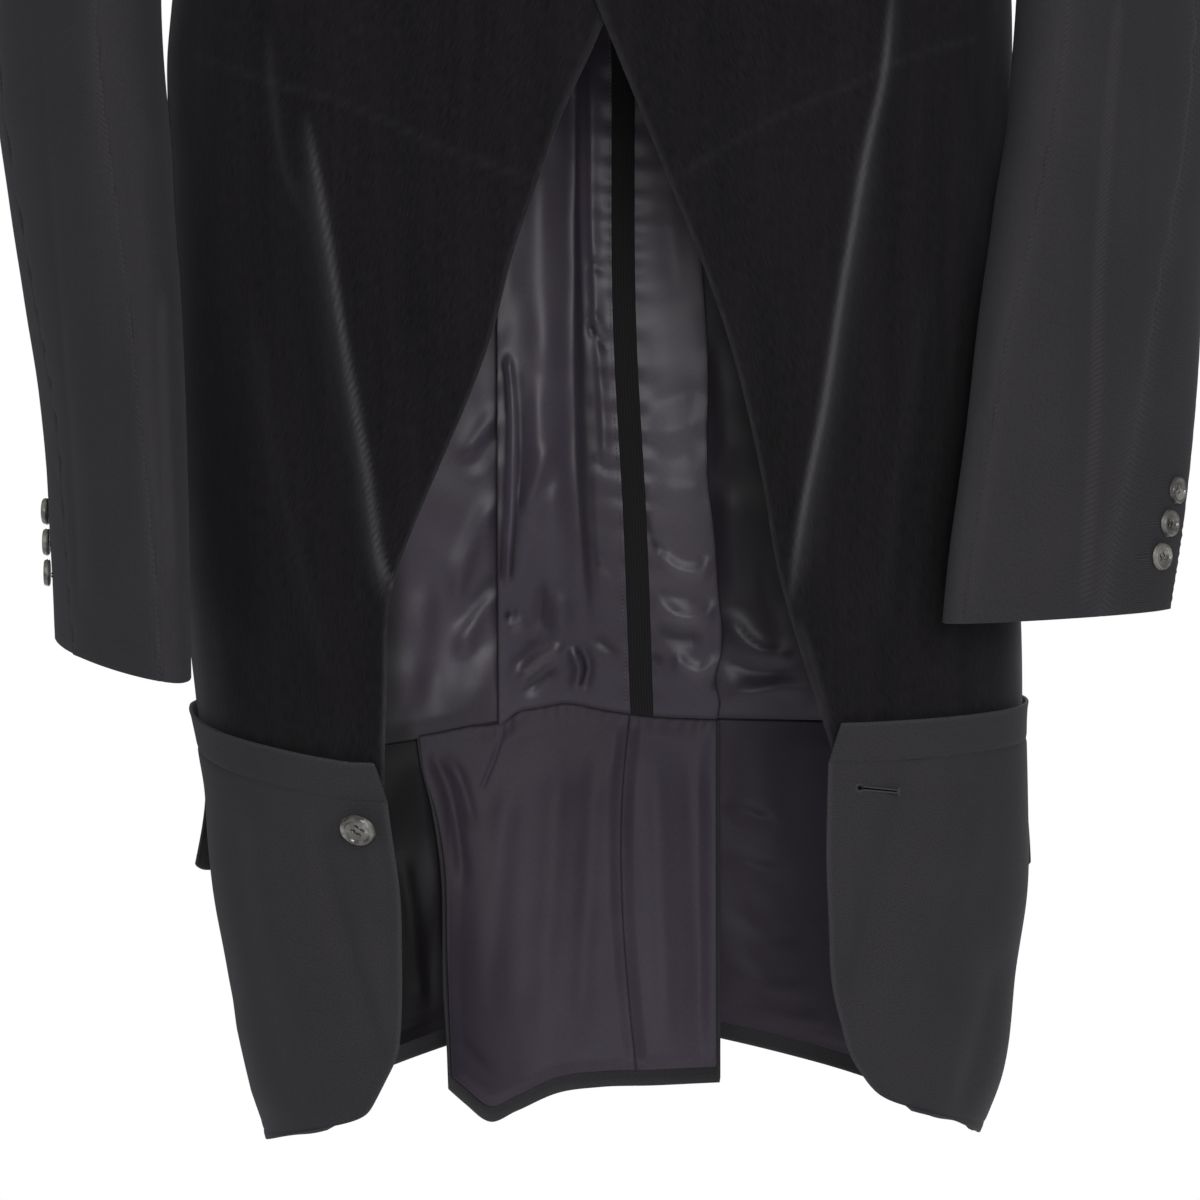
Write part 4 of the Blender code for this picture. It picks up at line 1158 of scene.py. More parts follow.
def build_lapel(arm):
    side, word = arm.side, WORD[arm.side]
    lifted = arm.front + (1.2 + WOOL) * normals(arm.front, side)
    rows = [spaced(line, np.linspace(0, width, 41))
            for line, width in zip(lifted[FRONT_ARM_ROW + 1:], LAPEL_WIDTH)]
    if side < 0:
        rows = rows[1:]
    grid = fine_rows(np.array(rows), np.linspace(0, len(rows) - 1, 91))
    first, last, _, _ = edge_distance(grid)
    pair = fine_pair(grid, side, WOOL, 0.35 * ripple(grid, 70 + side, 60))
    cloth_piece(f"lapel_cloth_{word}", f"lapel_{word}", grid, pair, side, "velvet", "folded",
                [f"velvet_{word}"], marks={"painted_light_and_pale_edge": lightening(np.minimum(first, last), 0.2, 1.0)})


arms = {side: Arm(side) for side in (1, -1)}
for arm in arms.values():
    build_velvet(arm)
    build_back(arm)
    build_sleeve(arm)
    build_lapel(arm)


def build_collar():
    knots = np.arange(len(COLLAR), dtype=float)
    columns = [curve(knots, np.array(column, float), np.linspace(0, len(COLLAR) - 1, 12))
               for column in zip(*COLLAR)]
    half = list(zip(*columns))
    rows = [(-x, y, z, -a, b, c, stand, fall) for x, y, z, a, b, c, stand, fall in half[:0:-1]]
    grid = []
    for x, y, z, a, b, c, stand, fall in rows + half:
        base = np.array([x, y, z])
        down = unit(np.array([a, b, c]))
        out = unit(np.array([a, b, 0]))
        up = unit(np.array([-0.18 * out[0], -0.18 * out[1], 1]))
        lift = unit(np.cross(np.cross(down, [0, 0, 1.0]), down))
        start = base + up * (stand - 3.2) + out * 6.0
        end = base + down * fall + lift * 3.6
        grid.append([
            base - up * 3.6,
            base + up * stand * 0.5,
            base + up * (stand - 2.6),
            base + up * stand + out * 2.8,
            start,
            (start + end) / 2 + lift * 2.2,
            end,
        ])
    grid = np.array(grid).transpose(1, 0, 2)
    grid = fine_rows(grid, np.linspace(0, len(grid) - 1, 41))
    grid = fine_columns(grid, np.linspace(0, grid.shape[1] - 1, 141))
    pair = fine_pair(grid, 1, WOOL, 0.25 * ripple(grid, 91, 60))
    cloth_piece("collar_cloth", "collar", grid, pair, 1, "wool", "folded",
                ["back_left", "back_right"])


# Band
BAND_ENDS = {1: (120.6, 127.0), -1: (112.3, 117.2)}
BAND_ROWS = np.linspace(0.15, BAND_HEIGHT, 17)


def band_strip(side, starts, stop, columns):
    rows = []
    for height, start in zip(BAND_ROWS, starts):
        turn = np.linspace(start, stop, columns)
        lean = BAND_LEAN * (height / BAND_HEIGHT) ** 1.5
        rows.append(skin(SKIRT, side, turn, seam_level(side, turn) + height, lean))
    return np.array(rows)


def band_piece(name, stands_for, grid, side, seed, sewn):
    """Piece of the band; sewn: whether its first and its last edge are seams."""
    _, _, low, high = edge_distance(grid)
    detail = 0.35 * ripple(grid, seed, 60, (1, 1, 0.2)) * ease((low, 12))
    detail += 0.25 * bell(high, 2.0) + seam_roll(grid, (*sewn, 1, 0))
    gaps = (HALF_SEAM * sewn[0], HALF_SEAM * sewn[1], 0, 0)
    pair = fine_pair(grid, side, WOOL, detail, gaps)
    cloth_piece(name, stands_for, grid, pair, side, "wool", "folded",
                marks={"painted_light_and_pale_edge": lightening(high, 0.25)})


def build_band():
    join = float(turn_at_seam(SKIRT, -700.0))
    backs = {}
    for side, word in WORD.items():
        low, high = BAND_ENDS[side]
        edge = low + (high - low) * BAND_ROWS / BAND_HEIGHT
        starts = turn_at_x(SKIRT, side, edge, SEAM_LEVEL[side][0])
        grid = band_strip(side, starts, join, 121)
        band_piece(f"band_{word}", f"band_front_{word}", grid, side, 100 + side, (0, 1))
        backs[side] = band_strip(side, np.full(len(BAND_ROWS), join), 2.0, 101)
    grid = np.concatenate([backs[1], backs[-1][:, -2::-1]], axis=1)
    band_piece("band_rear", "band_back", grid, 1, 104, (1, 1))


build_collar()
build_band()

LOWER_STROKES = [
    # wearer's right (left of the view)
    (9, 13, -0.9, 30, [(330, 790), (319, 851), (346, 945), (370, 1024), (382, 1063)]),
    (14, 14, 0.8, 40, [(255, 790), (268, 880), (290, 980), (320, 1080)]),
    (14, 14, -0.8, 40, [(228, 800), (240, 900), (262, 1010), (285, 1110)]),
    (12, 12, 0.7, 30, [(352, 900), (372, 990), (380, 1050)]),
    (9, 9, 0.7, 24, [(372, 800), (368, 850), (376, 900)]),
    (16, 16, 0.7, 30, [(225, 1000), (240, 1060), (262, 1120)]),
    # wearer's left (right of the view)
    (10, 13, -1.2, 34, [(925, 740), (905, 800), (880, 880), (862, 960), (850, 1010)]),
    (12, 12, -1.0, 34, [(1005, 950), (985, 1040), (960, 1125)]),
    (14, 14, 0.9, 40, [(960, 760), (945, 850), (915, 960), (890, 1060)]),
    (16, 16, -0.7, 40, [(1000, 760), (995, 850), (975, 950)]),
    (10, 10, 0.6, 24, [(845, 830), (850, 900), (858, 960)]),
]
HEM_FULL = {1: 3.0, -1: 1.6}


def lower_front_net(side, columns):
    rows = LOWER[side]
    net = []
    for k, (x_edge, z_edge, z_side) in enumerate(rows):
        t = k / (len(rows) - 1)
        start = turn_at_x(SKIRT, side, x_edge, z_edge)
        stop = turn_at_seam(SKIRT, z_side)
        u = np.linspace(0, 1, columns)
        turn = start + (stop - start) * u
        z = z_edge + (z_side - z_edge) * u - HEM_FULL[side] * t ** 8 * np.sin(np.pi * u)
        straight = rows[0][1] + (rows[0][2] - rows[0][1]) * u
        z = z + (seam_level(side, turn) - straight) * (1 - t)
        x = ring(SKIRT, side, turn, z)[:, 0]
        net.append(skin(SKIRT, side, turn, z, ridge(LOWER_FOLDS, side, x, z)))
    return np.array(net)[::-1]


def side_back_net(side, columns, inset=0.0, short=0.0, vent_gap=0.0):
    """Lower side back, or its lining: further in, shorter, and away from the vent."""
    vent_x, vent_z = VENT[side]
    levels = [row[2] for row in LOWER[side]]
    net = []
    for level in levels:
        t = (level - levels[0]) / (levels[-1] - levels[0])
        start = turn_at_seam(SKIRT, level)
        z_vent = SEAM_LEVEL[side][2] * (1 - t) + vent_z * t
        stop = 2 - turn_at_x(SKIRT, side, vent_x + vent_gap, z_vent)
        u = np.linspace(0, 1, columns)
        turn = start + (stop - start) * u
        hem = levels[-1] + short + (vent_z - levels[-1]) * u ** 1.5
        z = seam_level(side, turn) * (1 - t) + hem * t
        net.append(skin(SKIRT, side, turn, z, -inset))
    return np.array(net)[::-1]


def lower_fine(net):
    return fine_rows(net, np.linspace(0, len(net) - 1, 111))


def build_lower_front(side):
    grid = lower_fine(lower_front_net(side, 101))
    first, last, low, high = edge_distance(grid)
    hem = np.minimum(first, low)
    detail = 2.0 * stroke_field(grid, LOWER_STROKES)
    detail += 0.6 * ripple(grid, 110 + side, 90, (1, 0.5, 0.4))
    detail += 0.2 * ripple(grid, 114 + side, 40, (1, 0.5, 0.5))
    detail = detail * ease((high, 26), (last, 20)) * (0.4 + 0.6 * ease((hem, 14)))
    detail += seam_roll(grid, (0, 1, 0, 1)) + pucker(grid, (0, 1, 0, 0), 1.0, 12, 6, 21)
    detail += 0.12 * bell(hem - 3.2, 2.2) - 0.28 * bell(hem - 7.0, 1.2)
    pair = fine_pair(grid, side, WOOL, detail, (0, HALF_SEAM, 0, SEAM))
    cloth_piece(f"lower_{WORD[side]}", f"lower_front_{WORD[side]}", grid, pair, side, "wool",
                marks={"painted_light_and_pale_edge": lightening(hem)})


def build_side_back(side):
    grid = lower_fine(side_back_net(side, 81))
    first, last, low, high = edge_distance(grid)
    detail = 0.8 * ripple(grid, 120 + side, 100, (1, 0.5, 0.3))
    detail += 0.25 * ripple(grid, 124 + side, 45, (1, 0.5, 0.4))
    detail = detail * ease((high, 26), (first, 20)) * (0.3 + 0.7 * ease((last, 14)))
    detail += seam_roll(grid, (1, 0, 0, 1)) + pucker(grid, (1, 0, 0, 0), 1.0, 12, 6, 22)
    pair = fine_pair(grid, side, WOOL, detail, (HALF_SEAM, 0, 0, SEAM))
    cloth_piece(f"rear_side_{WORD[side]}", f"side_back_{WORD[side]}", grid, pair, side, "wool",
                marks={"painted_light_and_pale_edge": lightening(np.minimum(last, low))})


def build_side_back_lining(side):
    grid = sagging(lower_fine(side_back_net(side, 81, WOOL + 0.8, 9.0, 3.0)))
    first, last, low, high = edge_distance(grid)
    folds = 1.2 * stroke_field(grid, SKIRT_LINING_STROKES)
    folds += 0.8 * ripple(grid, 130 + side, 60, (1, 0.5, 0.25))
    folds += 0.4 * ripple(grid, 134 + side, 28, (1, 0.5, 0.3))
    inward = np.clip(1.3 + folds, 0.0, 6.0) * ease((high, 16), (first, 14), (last, 12), (low, 14))
    inward += 0.7 * bell(low - 6, 3.5) * ease((last, 12))
    pair = fine_pair(grid, side, SATIN, -inward, (HALF_SEAM, 0, 0, 1.0))
    # Painted shade: darker satin deep inside, and near black in the strip behind the front edge
    dim = painted_patches(grid, [(780, 880, 90, 260, 0.42), (396, 860, 62, 420, 0.985)])
    name = f"lining_{WORD[side]}"
    cloth_piece(f"rear_side_{name}", f"side_back_{name}", grid, pair[::-1], -side, "satin_inside",
                marks={"dim": dim})


def build_flap(side):
    word = WORD[side]
    flare = 2.4 if side > 0 else 10.0
    start = float(turn_at_seam(SKIRT, -740.0)) + 0.02
    u = np.linspace(0, 1, 65)
    corner = np.abs(2 * u - 1) ** 6
    rows = []
    for t in np.linspace(1, 0, 39):
        z = -729 - FLAP_DROP * t * (1 - 0.1 * corner * t)
        rows.append(skin(SKIRT, side, start + 0.62 * u, z, 1.2 + WOOL + flare * t ** 1.5))
    grid = np.array(rows)
    hem = np.minimum.reduce(edge_distance(grid)[:3])
    detail = 0.3 * ripple(grid, 140 + side, 60) - 0.22 * bell(hem - 6.0, 1.1)
    pair = fine_pair(grid, side, WOOL, detail)
    cloth_piece(f"flap_{word}", f"pocket_flap_{word}", grid, pair, side, "wool", "hung",
                [f"lower_{word}"], marks={"painted_light_and_pale_edge": lightening(hem)})


# Sag of the waist seam of the lining by column, in rows, and shift of its free edge beside the
# vent by row, in columns
WAIST_ROW = 717.0
WAIST = table("column sag", [
    (380, 24), (415, 20), (430, 18), (470, 11), (503, 5), (515, -5), (540, -11), (563, -15),
    (606, -8), (634, -4), (720, 1), (830, 2),
])
FREE_EDGE = table("row shift", [
    (200, -18), (283, -14), (340, -10), (383, -9), (440, -10), (490, -8), (526, -3), (561, 0),
    (590, 2), (615, 5), (650, 5), (679, -1), (700, 4), (717, 1),
])


def sagging(grid):
    """Grid with the waist seam of the lining moved to its drawn line."""
    column, row = front_view(grid)
    scale = view_scale(grid[..., 1])
    grid = grid.copy()
    grid[..., 2] -= read(WAIST, "sag", column) * scale * bell(row - WAIST_ROW, 75)
    return grid


# Folds of the lining, raised towards the front
LINING_STROKES = [
    # rolled fold beside the left seam
    (4.5, 4.5, 1.5, 12, [
        (507, 352), (511, 383), (513, 419), (513, 454), (511, 508), (508, 547), (506, 582)]),
    (9, 9, 0.9, 30, [(538, 372), (536, 450), (530, 540)]),
    (8, 9, 0.9, 14, [(552, 440), (536, 474), (522, 510)]),
    (8, 8, -0.7, 12, [(558, 466), (542, 494), (528, 528)]),
    # long soft hollow and the raised strip beside the tape
    (7, 15, -1.9, 70, [(576, 30), (574, 160), (573, 300), (574, 430), (578, 520), (588, 630)]),
    (16, 16, 1.4, 60, [(540, 120), (541, 260), (545, 420), (552, 560)]),
    (9, 5, 1.2, 30, [(592, 50), (592, 180), (594, 260), (598, 330), (603, 400), (606, 470)]),
    (3.5, 4, -0.8, 7, [(586, 262), (597, 266), (608, 273)]),
    (4, 5, -1.0, 7, [(587, 322), (598, 336), (611, 352)]),
    (4, 4, 0.8, 7, [(588, 311), (599, 322), (611, 334)]),
    (5, 5, -0.6, 8, [(592, 455), (602, 462), (613, 470)]),
    (5, 5, -0.6, 8, [(596, 556), (606, 566), (618, 574)]),
    (5, 6, -0.9, 12, [(590, 630), (606, 642), (626, 655)]),
    # pulls above the waist seam
    (7, 7, 1.8, 12, [(516, 680), (536, 662), (552, 650), (566, 640)]),
    (6, 6, -1.1, 10, [(524, 690), (544, 674), (557, 664)]),
    (7, 7, -0.9, 10, [(512, 666), (526, 650), (540, 630)]),
    (4, 6, 1.4, 10, [(568, 644), (575, 654), (579, 668), (573, 688)]),
    (5, 4, -1.0, 10, [(576, 640), (586, 652), (589, 668), (583, 690)]),
    (6, 6, 0.9, 8, [(506, 632), (516, 624), (528, 618)]),
    (5, 5, -0.9, 6, [(504, 616), (510, 612), (516, 604)]),
    (8, 8, -1.0, 16, [(541, 572), (541, 600), (538, 632)]),
    (11, 11, 1.1, 16, [(560, 586), (561, 615), (558, 640)]),
    # swags to the right of the tape
    (5, 5, -1.1, 12, [(642, 478), (647, 510), (655, 538), (668, 556)]),
    (8, 7, 1.9, 12, [(654, 548), (668, 563), (686, 571), (702, 569), (716, 553)]),
    (8, 8, -0.8, 12, [(654, 583), (674, 592), (700, 592)]),
    (8, 7, 1.8, 12, [(650, 590), (662, 606), (686, 617), (706, 613), (722, 597)]),
    (9, 9, -1.0, 12, [(652, 624), (676, 634), (704, 634)]),
    (7, 7, 1.7, 12, [(672, 650), (684, 664), (702, 670), (724, 656)]),
    (7, 7, -0.8, 8, [(648, 652), (656, 656), (668, 660)]),
    (9, 9, -0.5, 16, [(640, 392), (660, 400), (700, 388)]),
    (10, 10, 0.5, 16, [(640, 420), (664, 430), (704, 418)]),
    (9, 9, -0.5, 16, [(644, 448), (664, 458), (704, 452)]),
    (10, 10, 0.5, 16, [(650, 478), (672, 490), (706, 488)]),
    (12, 12, 0.6, 30, [(662, 140), (670, 220), (678, 300)]),
]
# Painted shade in the folds of the lining, and painted light on the parts of it that catch the light
LINING_SHADE = [
    (2.2, 2.2, 0.5, 14, [(501, 352), (505, 385), (506, 420), (505, 470), (502, 530), (500, 580)]),
    (6, 2.4, 0.42, 14, [(519, 362), (520, 400), (520, 458), (518, 500), (514, 545), (510, 585)]),
    (3, 15, 0.38, 80, [
        (577, 90), (577, 180), (579, 260), (583, 320), (588, 380), (592, 440), (594, 520), (600, 620)]),
    (2.5, 3, 0.4, 6, [(587, 262), (597, 266), (607, 272)]),
    (2.5, 3.5, 0.45, 7, [(587, 320), (597, 334), (610, 352)]),
    (4, 4, 0.35, 6, [(594, 366), (602, 370), (610, 372)]),
    (5, 5, 0.5, 6, [(506, 606), (509, 614), (508, 622)]),
    (7, 7, 0.4, 10, [(516, 664), (526, 650), (538, 632)]),
    (5, 5, 0.4, 10, [(526, 690), (544, 676), (556, 664)]),
    (2.5, 2.5, 0.5, 8, [(570, 642), (582, 653), (585, 668), (578, 688)]),
    (7, 7, 0.3, 16, [(541, 572), (541, 600), (538, 632)]),
    (4, 8, 0.3, 12, [(590, 632), (606, 642), (626, 655)]),
    (5, 3, 0.5, 12, [(641, 474), (645, 510), (652, 538), (664, 556)]),
    (7, 7, 0.32, 12, [(652, 622), (676, 633), (704, 634)]),
    (6, 5, 0.5, 8, [(650, 648), (657, 656), (666, 662)]),
    (8, 3, 0.25, 40, [(637, 330), (640, 400), (642, 470)]),
    (4, 4, 0.5, 4, [(716, 674), (714, 682), (715, 690)]),
    (9, 9, 0.34, 14, [(497, 566), (484, 586), (468, 608)]),
    (6, 6, 0.3, 12, [(500, 452), (486, 470), (468, 488)]),
]
LINING_LIGHT = [
    (6, 6, 0.25, 12, [(656, 552), (670, 564), (686, 571), (702, 568), (714, 555)]),
    (6, 6, 0.3, 12, [(652, 592), (664, 608), (686, 617), (704, 613)]),
    (6, 6, 0.3, 12, [(678, 652), (690, 666), (704, 668), (722, 656)]),
    (5, 5, 0.3, 12, [(520, 676), (538, 662), (562, 642)]),
    (9, 5, 0.15, 40, [(596, 60), (597, 180), (599, 300), (604, 400)]),
    (3, 3, 0.3, 8, [(511, 380), (513, 419), (513, 454), (511, 508), (508, 547)]),
    (4, 4, 0.3, 6, [(596, 281), (604, 283), (611, 286)]),
    (4, 4, 0.35, 6, [(594, 322), (602, 334), (609, 342)]),
    (5, 5, 0.3, 8, [(508, 632), (516, 626), (526, 621)]),
]
SIDE_LINING_STROKES = [
    # wearer's right, lit by the opening
    (7, 8, -1.0, 14, [(504, 424), (486, 446), (470, 470)]),
    (8, 8, 1.0, 14, [(502, 404), (482, 432), (464, 458)]),
    (9, 9, 1.1, 20, [(502, 492), (480, 524), (464, 560), (452, 600)]),
    (8, 9, -1.1, 18, [(501, 540), (486, 570), (470, 602), (460, 630)]),
    (8, 8, 1.3, 14, [(503, 590), (486, 604), (470, 626), (460, 654)]),
    (8, 8, -0.6, 14, [(502, 622), (488, 634), (474, 658)]),
    (12, 12, 0.9, 40, [(430, 560), (418, 640), (410, 710)]),
    (12, 12, -0.7, 40, [(454, 560), (440, 640), (430, 710)]),
    (12, 12, 0.6, 30, [(488, 640), (482, 680), (470, 715)]),
    # wearer's left, in shade
    (10, 10, 0.9, 26, [(712, 330), (722, 400), (726, 470)]),
    (9, 9, 0.8, 22, [(722, 480), (732, 540), (738, 600)]),
    (9, 9, 1.7, 20, [(722, 610), (746, 640), (772, 652), (796, 648)]),
    (9, 9, -1.2, 20, [(724, 650), (750, 668), (790, 668)]),
    (9, 9, 1.4, 20, [(722, 690), (750, 690), (784, 684), (812, 690)]),
    (10, 10, 0.9, 26, [(760, 560), (776, 620), (786, 670)]),
]
SKIRT_LINING_STROKES = [
    (9, 12, 1.6, 40, [(432, 830), (438, 900), (446, 980), (452, 1040)]),
    (7, 9, 1.4, 24, [(428, 752), (446, 780), (456, 830), (462, 890)]),
    (6, 7, -1.1, 20, [(446, 752), (462, 782), (474, 830)]),
    (2.2, 2.2, -0.6, 10, [(505, 722), (494, 756), (480, 790)]),
    (14, 14, 1.4, 50, [(510, 760), (500, 860), (492, 960), (486, 1050)]),
    (14, 14, -1.2, 50, [(560, 740), (552, 850), (545, 960), (540, 1050)]),
    (12, 12, 1.1, 50, [(596, 740), (590, 850), (584, 960), (580, 1050)]),
    (12, 12, -1.0, 50, [(655, 740), (660, 850), (664, 960), (668, 1050)]),
    (12, 12, 1.0, 50, [(690, 740), (694, 850), (698, 960), (700, 1050)]),
    (8, 10, 1.2, 24, [(450, 1030), (470, 1060), (492, 1080)]),
    (7, 7, 1.5, 14, [(724, 800), (748, 812), (778, 822)]),
    (9, 9, 1.5, 24, [(726, 850), (760, 868), (800, 872)]),
    (9, 9, -1.4, 24, [(730, 900), (764, 930), (806, 940)]),
    (9, 9, 1.5, 24, [(730, 960), (770, 985), (820, 990)]),
    (8, 8, 1.2, 24, [(742, 1000), (780, 1016), (830, 1022)]),
    (7, 9, 1.4, 20, [(400, 850), (412, 930), (420, 1010)]),
]


SKIRT_LENGTH = 207
SKIRT_LINING_TOP = -709.6
TAIL_SEAM = {1: (1, 0, 0, 0), -1: (0, 1, 0, 0)}
FREE_EDGE_SCALE = 0.5685
BACK_LINING_ENDS = {"left": 66, "right": -58}
SIDE_LINING_END = {1: 54.0, -1: 46.0}
# Painted shade on the side linings, as spots of the front view: column, row, half width, half height,
# much
SIDE_LINING_DIM = [
    (775, 430, 72, 250, 0.86),
    (385, 680, 21, 175, 0.9),
    (396, 745, 24, 50, 0.9),
    (440, 720, 70, 60, 0.5),
    (440, 520, 70, 220, 0.13),
]


def skirt_net(part, columns, rows, inset=0.0, short=0.0, edge_gap=0.0, top=SKIRT_TOP):
    """Centre back panel: part +1 lies to the wearer's left of its seam."""
    net = []
    u = np.linspace(0, 1, columns)
    for t in np.linspace(1, 0, rows):
        level = top - SKIRT_LENGTH * t
        seam = read(SKIRT_SEAM, "x", level)
        if part > 0:
            x = seam + (VENT_END - edge_gap - seam) * u
        else:
            x = read(SKIRT_SIDE, "x", level) + edge_gap
            x = x + (seam - x) * u
        hem = read(SKIRT_HEM, "z", x) + short
        z = top + (hem - top) * t
        curl = read(SKIRT_HEM, "curl", x) * t ** 2
        net.append(behind(SKIRT, x, z, read(SKIRT_INSET, "inset", z) + inset + curl))
    return np.array(net)


def skirt_edges(part, grid):
    """Distances to the free edge, the seam, the hem and the top."""
    first, last, low, high = edge_distance(grid)
    return (last, first, low, high) if part > 0 else (first, last, low, high)


def build_tail(part):
    word, seam = WORD[part], TAIL_SEAM[part]
    grid = skirt_net(part, 61, 91)
    free, sewn, low, high = skirt_edges(part, grid)
    detail = 0.6 * ripple(grid, 150 + part, 90, (1, 0.3, 0.3))
    detail = detail * ease((high, 24), (sewn, 16)) * (0.3 + 0.7 * ease((free, 14)))
    detail += seam_roll(grid, seam)
    pair = fine_pair(grid, -1, WOOL, detail, [HALF_SEAM * on for on in seam])
    cloth_piece(f"tail_{word}", f"back_skirt_{word}", grid, pair, -1, "wool",
                marks={"painted_light_and_pale_edge": lightening(np.minimum(free, low))})


def build_tail_lining(part):
    word, seam = WORD[part], TAIL_SEAM[part]
    grid = sagging(skirt_net(part, 121, 141, WOOL + SEAM + 0.1, 9.0, 2.0, SKIRT_LINING_TOP))
    x, z = grid[..., 0], grid[..., 2]
    grid[..., 2] += 2.3 * smooth_step(-50, -60, x) * smooth_step(-740, -712, z)
    free, sewn, low, high = skirt_edges(part, grid)
    across = sewn if part > 0 else free
    folds = 1.3 * stroke_field(grid, SKIRT_LINING_STROKES)
    folds += 0.5 * ripple(grid, 160 + part, 70, (1, 0.3, 0.25))
    folds += 0.22 * ripple(grid, 164 + part, 30, (1, 0.3, 0.3))
    forward = np.clip(1.8 + folds, 0.0, 6.0) * ease((high, 14), (sewn, 8), (free, 10), (low, 10))
    forward += 0.6 * bell(low - 5, 3.0) * ease((free, 10))
    near_top = np.exp(-high / 8)
    gather = np.sin(across / 1.15 + 2.0 * np.sin(across / 7)) * near_top
    forward += 0.3 * (1 + gather) * near_top * ease((high, 2))
    forward += 0.175 * (1 + np.sin(low / 5 + 2 * np.sin(low / 17))) * np.exp(-sewn / 5)
    pair = fine_pair(grid, -1, SATIN, -forward, [HALF_SEAM * on for on in seam])
    # Painted shade: darker satin deep inside, along the seams and in the gathers
    dim = painted_patches(grid, [(425, 920, 90, 320, 0.45), (500, 900, 150, 500, 0.25)])
    dim = np.maximum.reduce([dim, seam_dark(high, sewn), 0.25 * np.clip(-gather, 0, 1)])
    # Painted light: lighter satin on the lit side of the skirt lining
    lit = painted_patches(grid, [(668, 900, 48, 420, 0.3), (590, 900, 40, 420, 0.06)])
    cloth_piece(f"tail_lining_{word}", f"skirt_lining_{word}", grid, pair[::-1], 1,
                "satin_inside", marks={"dim": dim, "painted_light_and_pale_edge": lit})


def pick_stitches(surface, last):
    """Small hand stitches beside the tape."""
    column = int(np.argmin(np.abs(last[len(last) // 2] - 8.0)))
    line = surface[:, column]
    length = np.linalg.norm(np.diff(line, axis=0), axis=1).sum()
    dashes = []
    for at in np.arange(6.0, length - 60.0, 2.45):
        dash = spaced(line, np.array([at, at + 0.65, at + 1.3]))
        dash[:, 1] -= (0.12, 0.35, 0.12)
        dashes.append(tube(dash, 0.24, 5))
    small_part("tape_stitches", *merged(dashes), "pick", "satin")


def lining_net(key):
    """Net of the left or right half of the back lining, or of the tape over their seam."""
    net = []
    for right, left in zip(arms[-1].back[:-2], arms[1].back[:-2]):
        row = np.concatenate([right, left[-2::-1]])
        level = row[len(row) // 2, 2]
        middle = read(TAPE_MIDDLE, "x", level)
        x = {
            "left": np.linspace(middle, BACK_LINING_ENDS["left"], 91),
            "right": np.linspace(BACK_LINING_ENDS["right"], middle, 111),
            "tape": middle + np.linspace(-6.2, 6.2, 15),
        }[key]
        y, z = (np.interp(x, row[:, 0], row[:, axis]) for axis in (1, 2))
        y = y - WOOL - SEAM - read(LINING_STAND, "stand", level)
        if key == "tape":
            y = y - SATIN - SEAM
        net.append(np.stack([x, y, z], -1))
    grid = fine_rows(np.array(net), np.linspace(0, len(net) - 1, 261))
    if key == "left":
        share = np.linspace(0, 1, grid.shape[1])
        shift = read(FREE_EDGE, "shift", front_view(grid)[1])
        grid[..., 0] += FREE_EDGE_SCALE * shift * share ** 3
    return sagging(grid)


def build_back_lining(key):
    grid = lining_net(key)
    first, last, low, _ = edge_distance(grid)
    sewn, free = (first, last) if key == "left" else (last, first)
    folds = 1.45 * stroke_field(grid, LINING_STROKES)
    folds += 0.7 * ripple(grid, 173 + len(key), 70, (1, 0.2, 0.25))
    folds += 0.35 * ripple(grid, 175 + len(key), 32, (1, 0.2, 0.4))
    wave = np.sin(low / 2.9 + 1.6 * np.sin(low / 23))
    pull = np.exp(-np.maximum(sewn - 6, 0) / 9) * smooth_step(2, 8, sewn)
    folds = folds * smooth_step(4, 22, sewn) * (0.35 + 0.65 * ease((free, 9)))
    folds += 0.5 * wave * pull
    folds += 0.5 * np.sin(low / 5.2 + 2 * np.sin(low / 29)) * np.exp(-free / 7)
    deepest = 0.85 * read(LINING_STAND, "stand", grid[..., 2])
    folds = np.maximum(folds * ease((low, 14)), -deepest)
    gaps = (HALF_SEAM, 0, HALF_SEAM, 0) if key == "left" else (0, HALF_SEAM, HALF_SEAM, 0)
    pair = fine_pair(grid, -1, SATIN, -folds, gaps)
    # Painted shade: in the hollow, along the seams, in the folds and in the puckers
    dim = np.maximum.reduce([
        painted_patches(grid, [(540, 640, 60, 70, 0.2)]),
        seam_dark(low, free),
        fold_dark(grid),
        0.15 * (1 - wave) * pull,
    ])
    # Painted light: lighter satin where the lining catches the light
    lit = painted_patches(grid, [(668, 330, 50, 260, 0.62), (540, 300, 40, 220, 0.12)])
    lit = lit + np.clip(stroke_field(grid, LINING_LIGHT), 0, 0.5)
    cloth_piece(f"inside_{key}", f"back_lining_{key}", grid, pair[::-1], 1, "satin",
                marks={"dim": dim, "painted_light_and_pale_edge": lit})
    if key == "right":
        pick_stitches(pair[1], last)


def build_tape():
    grid = lining_net("tape")
    first, last, _, _ = edge_distance(grid)
    detail = 0.25 * bell(np.minimum(first, last), 0.9) - 0.4
    detail -= 0.25 * ripple(grid, 171, 46, (0.2, 0.2, 1))
    pair = fine_pair(grid, -1, SATIN * 0.8, detail, (0, 0, HALF_SEAM, 0))
    cloth_piece("tape_cloth", "centre_back_tape", grid, pair[::-1], 1, "tape", "hung",
                ["inside_left", "inside_right"])


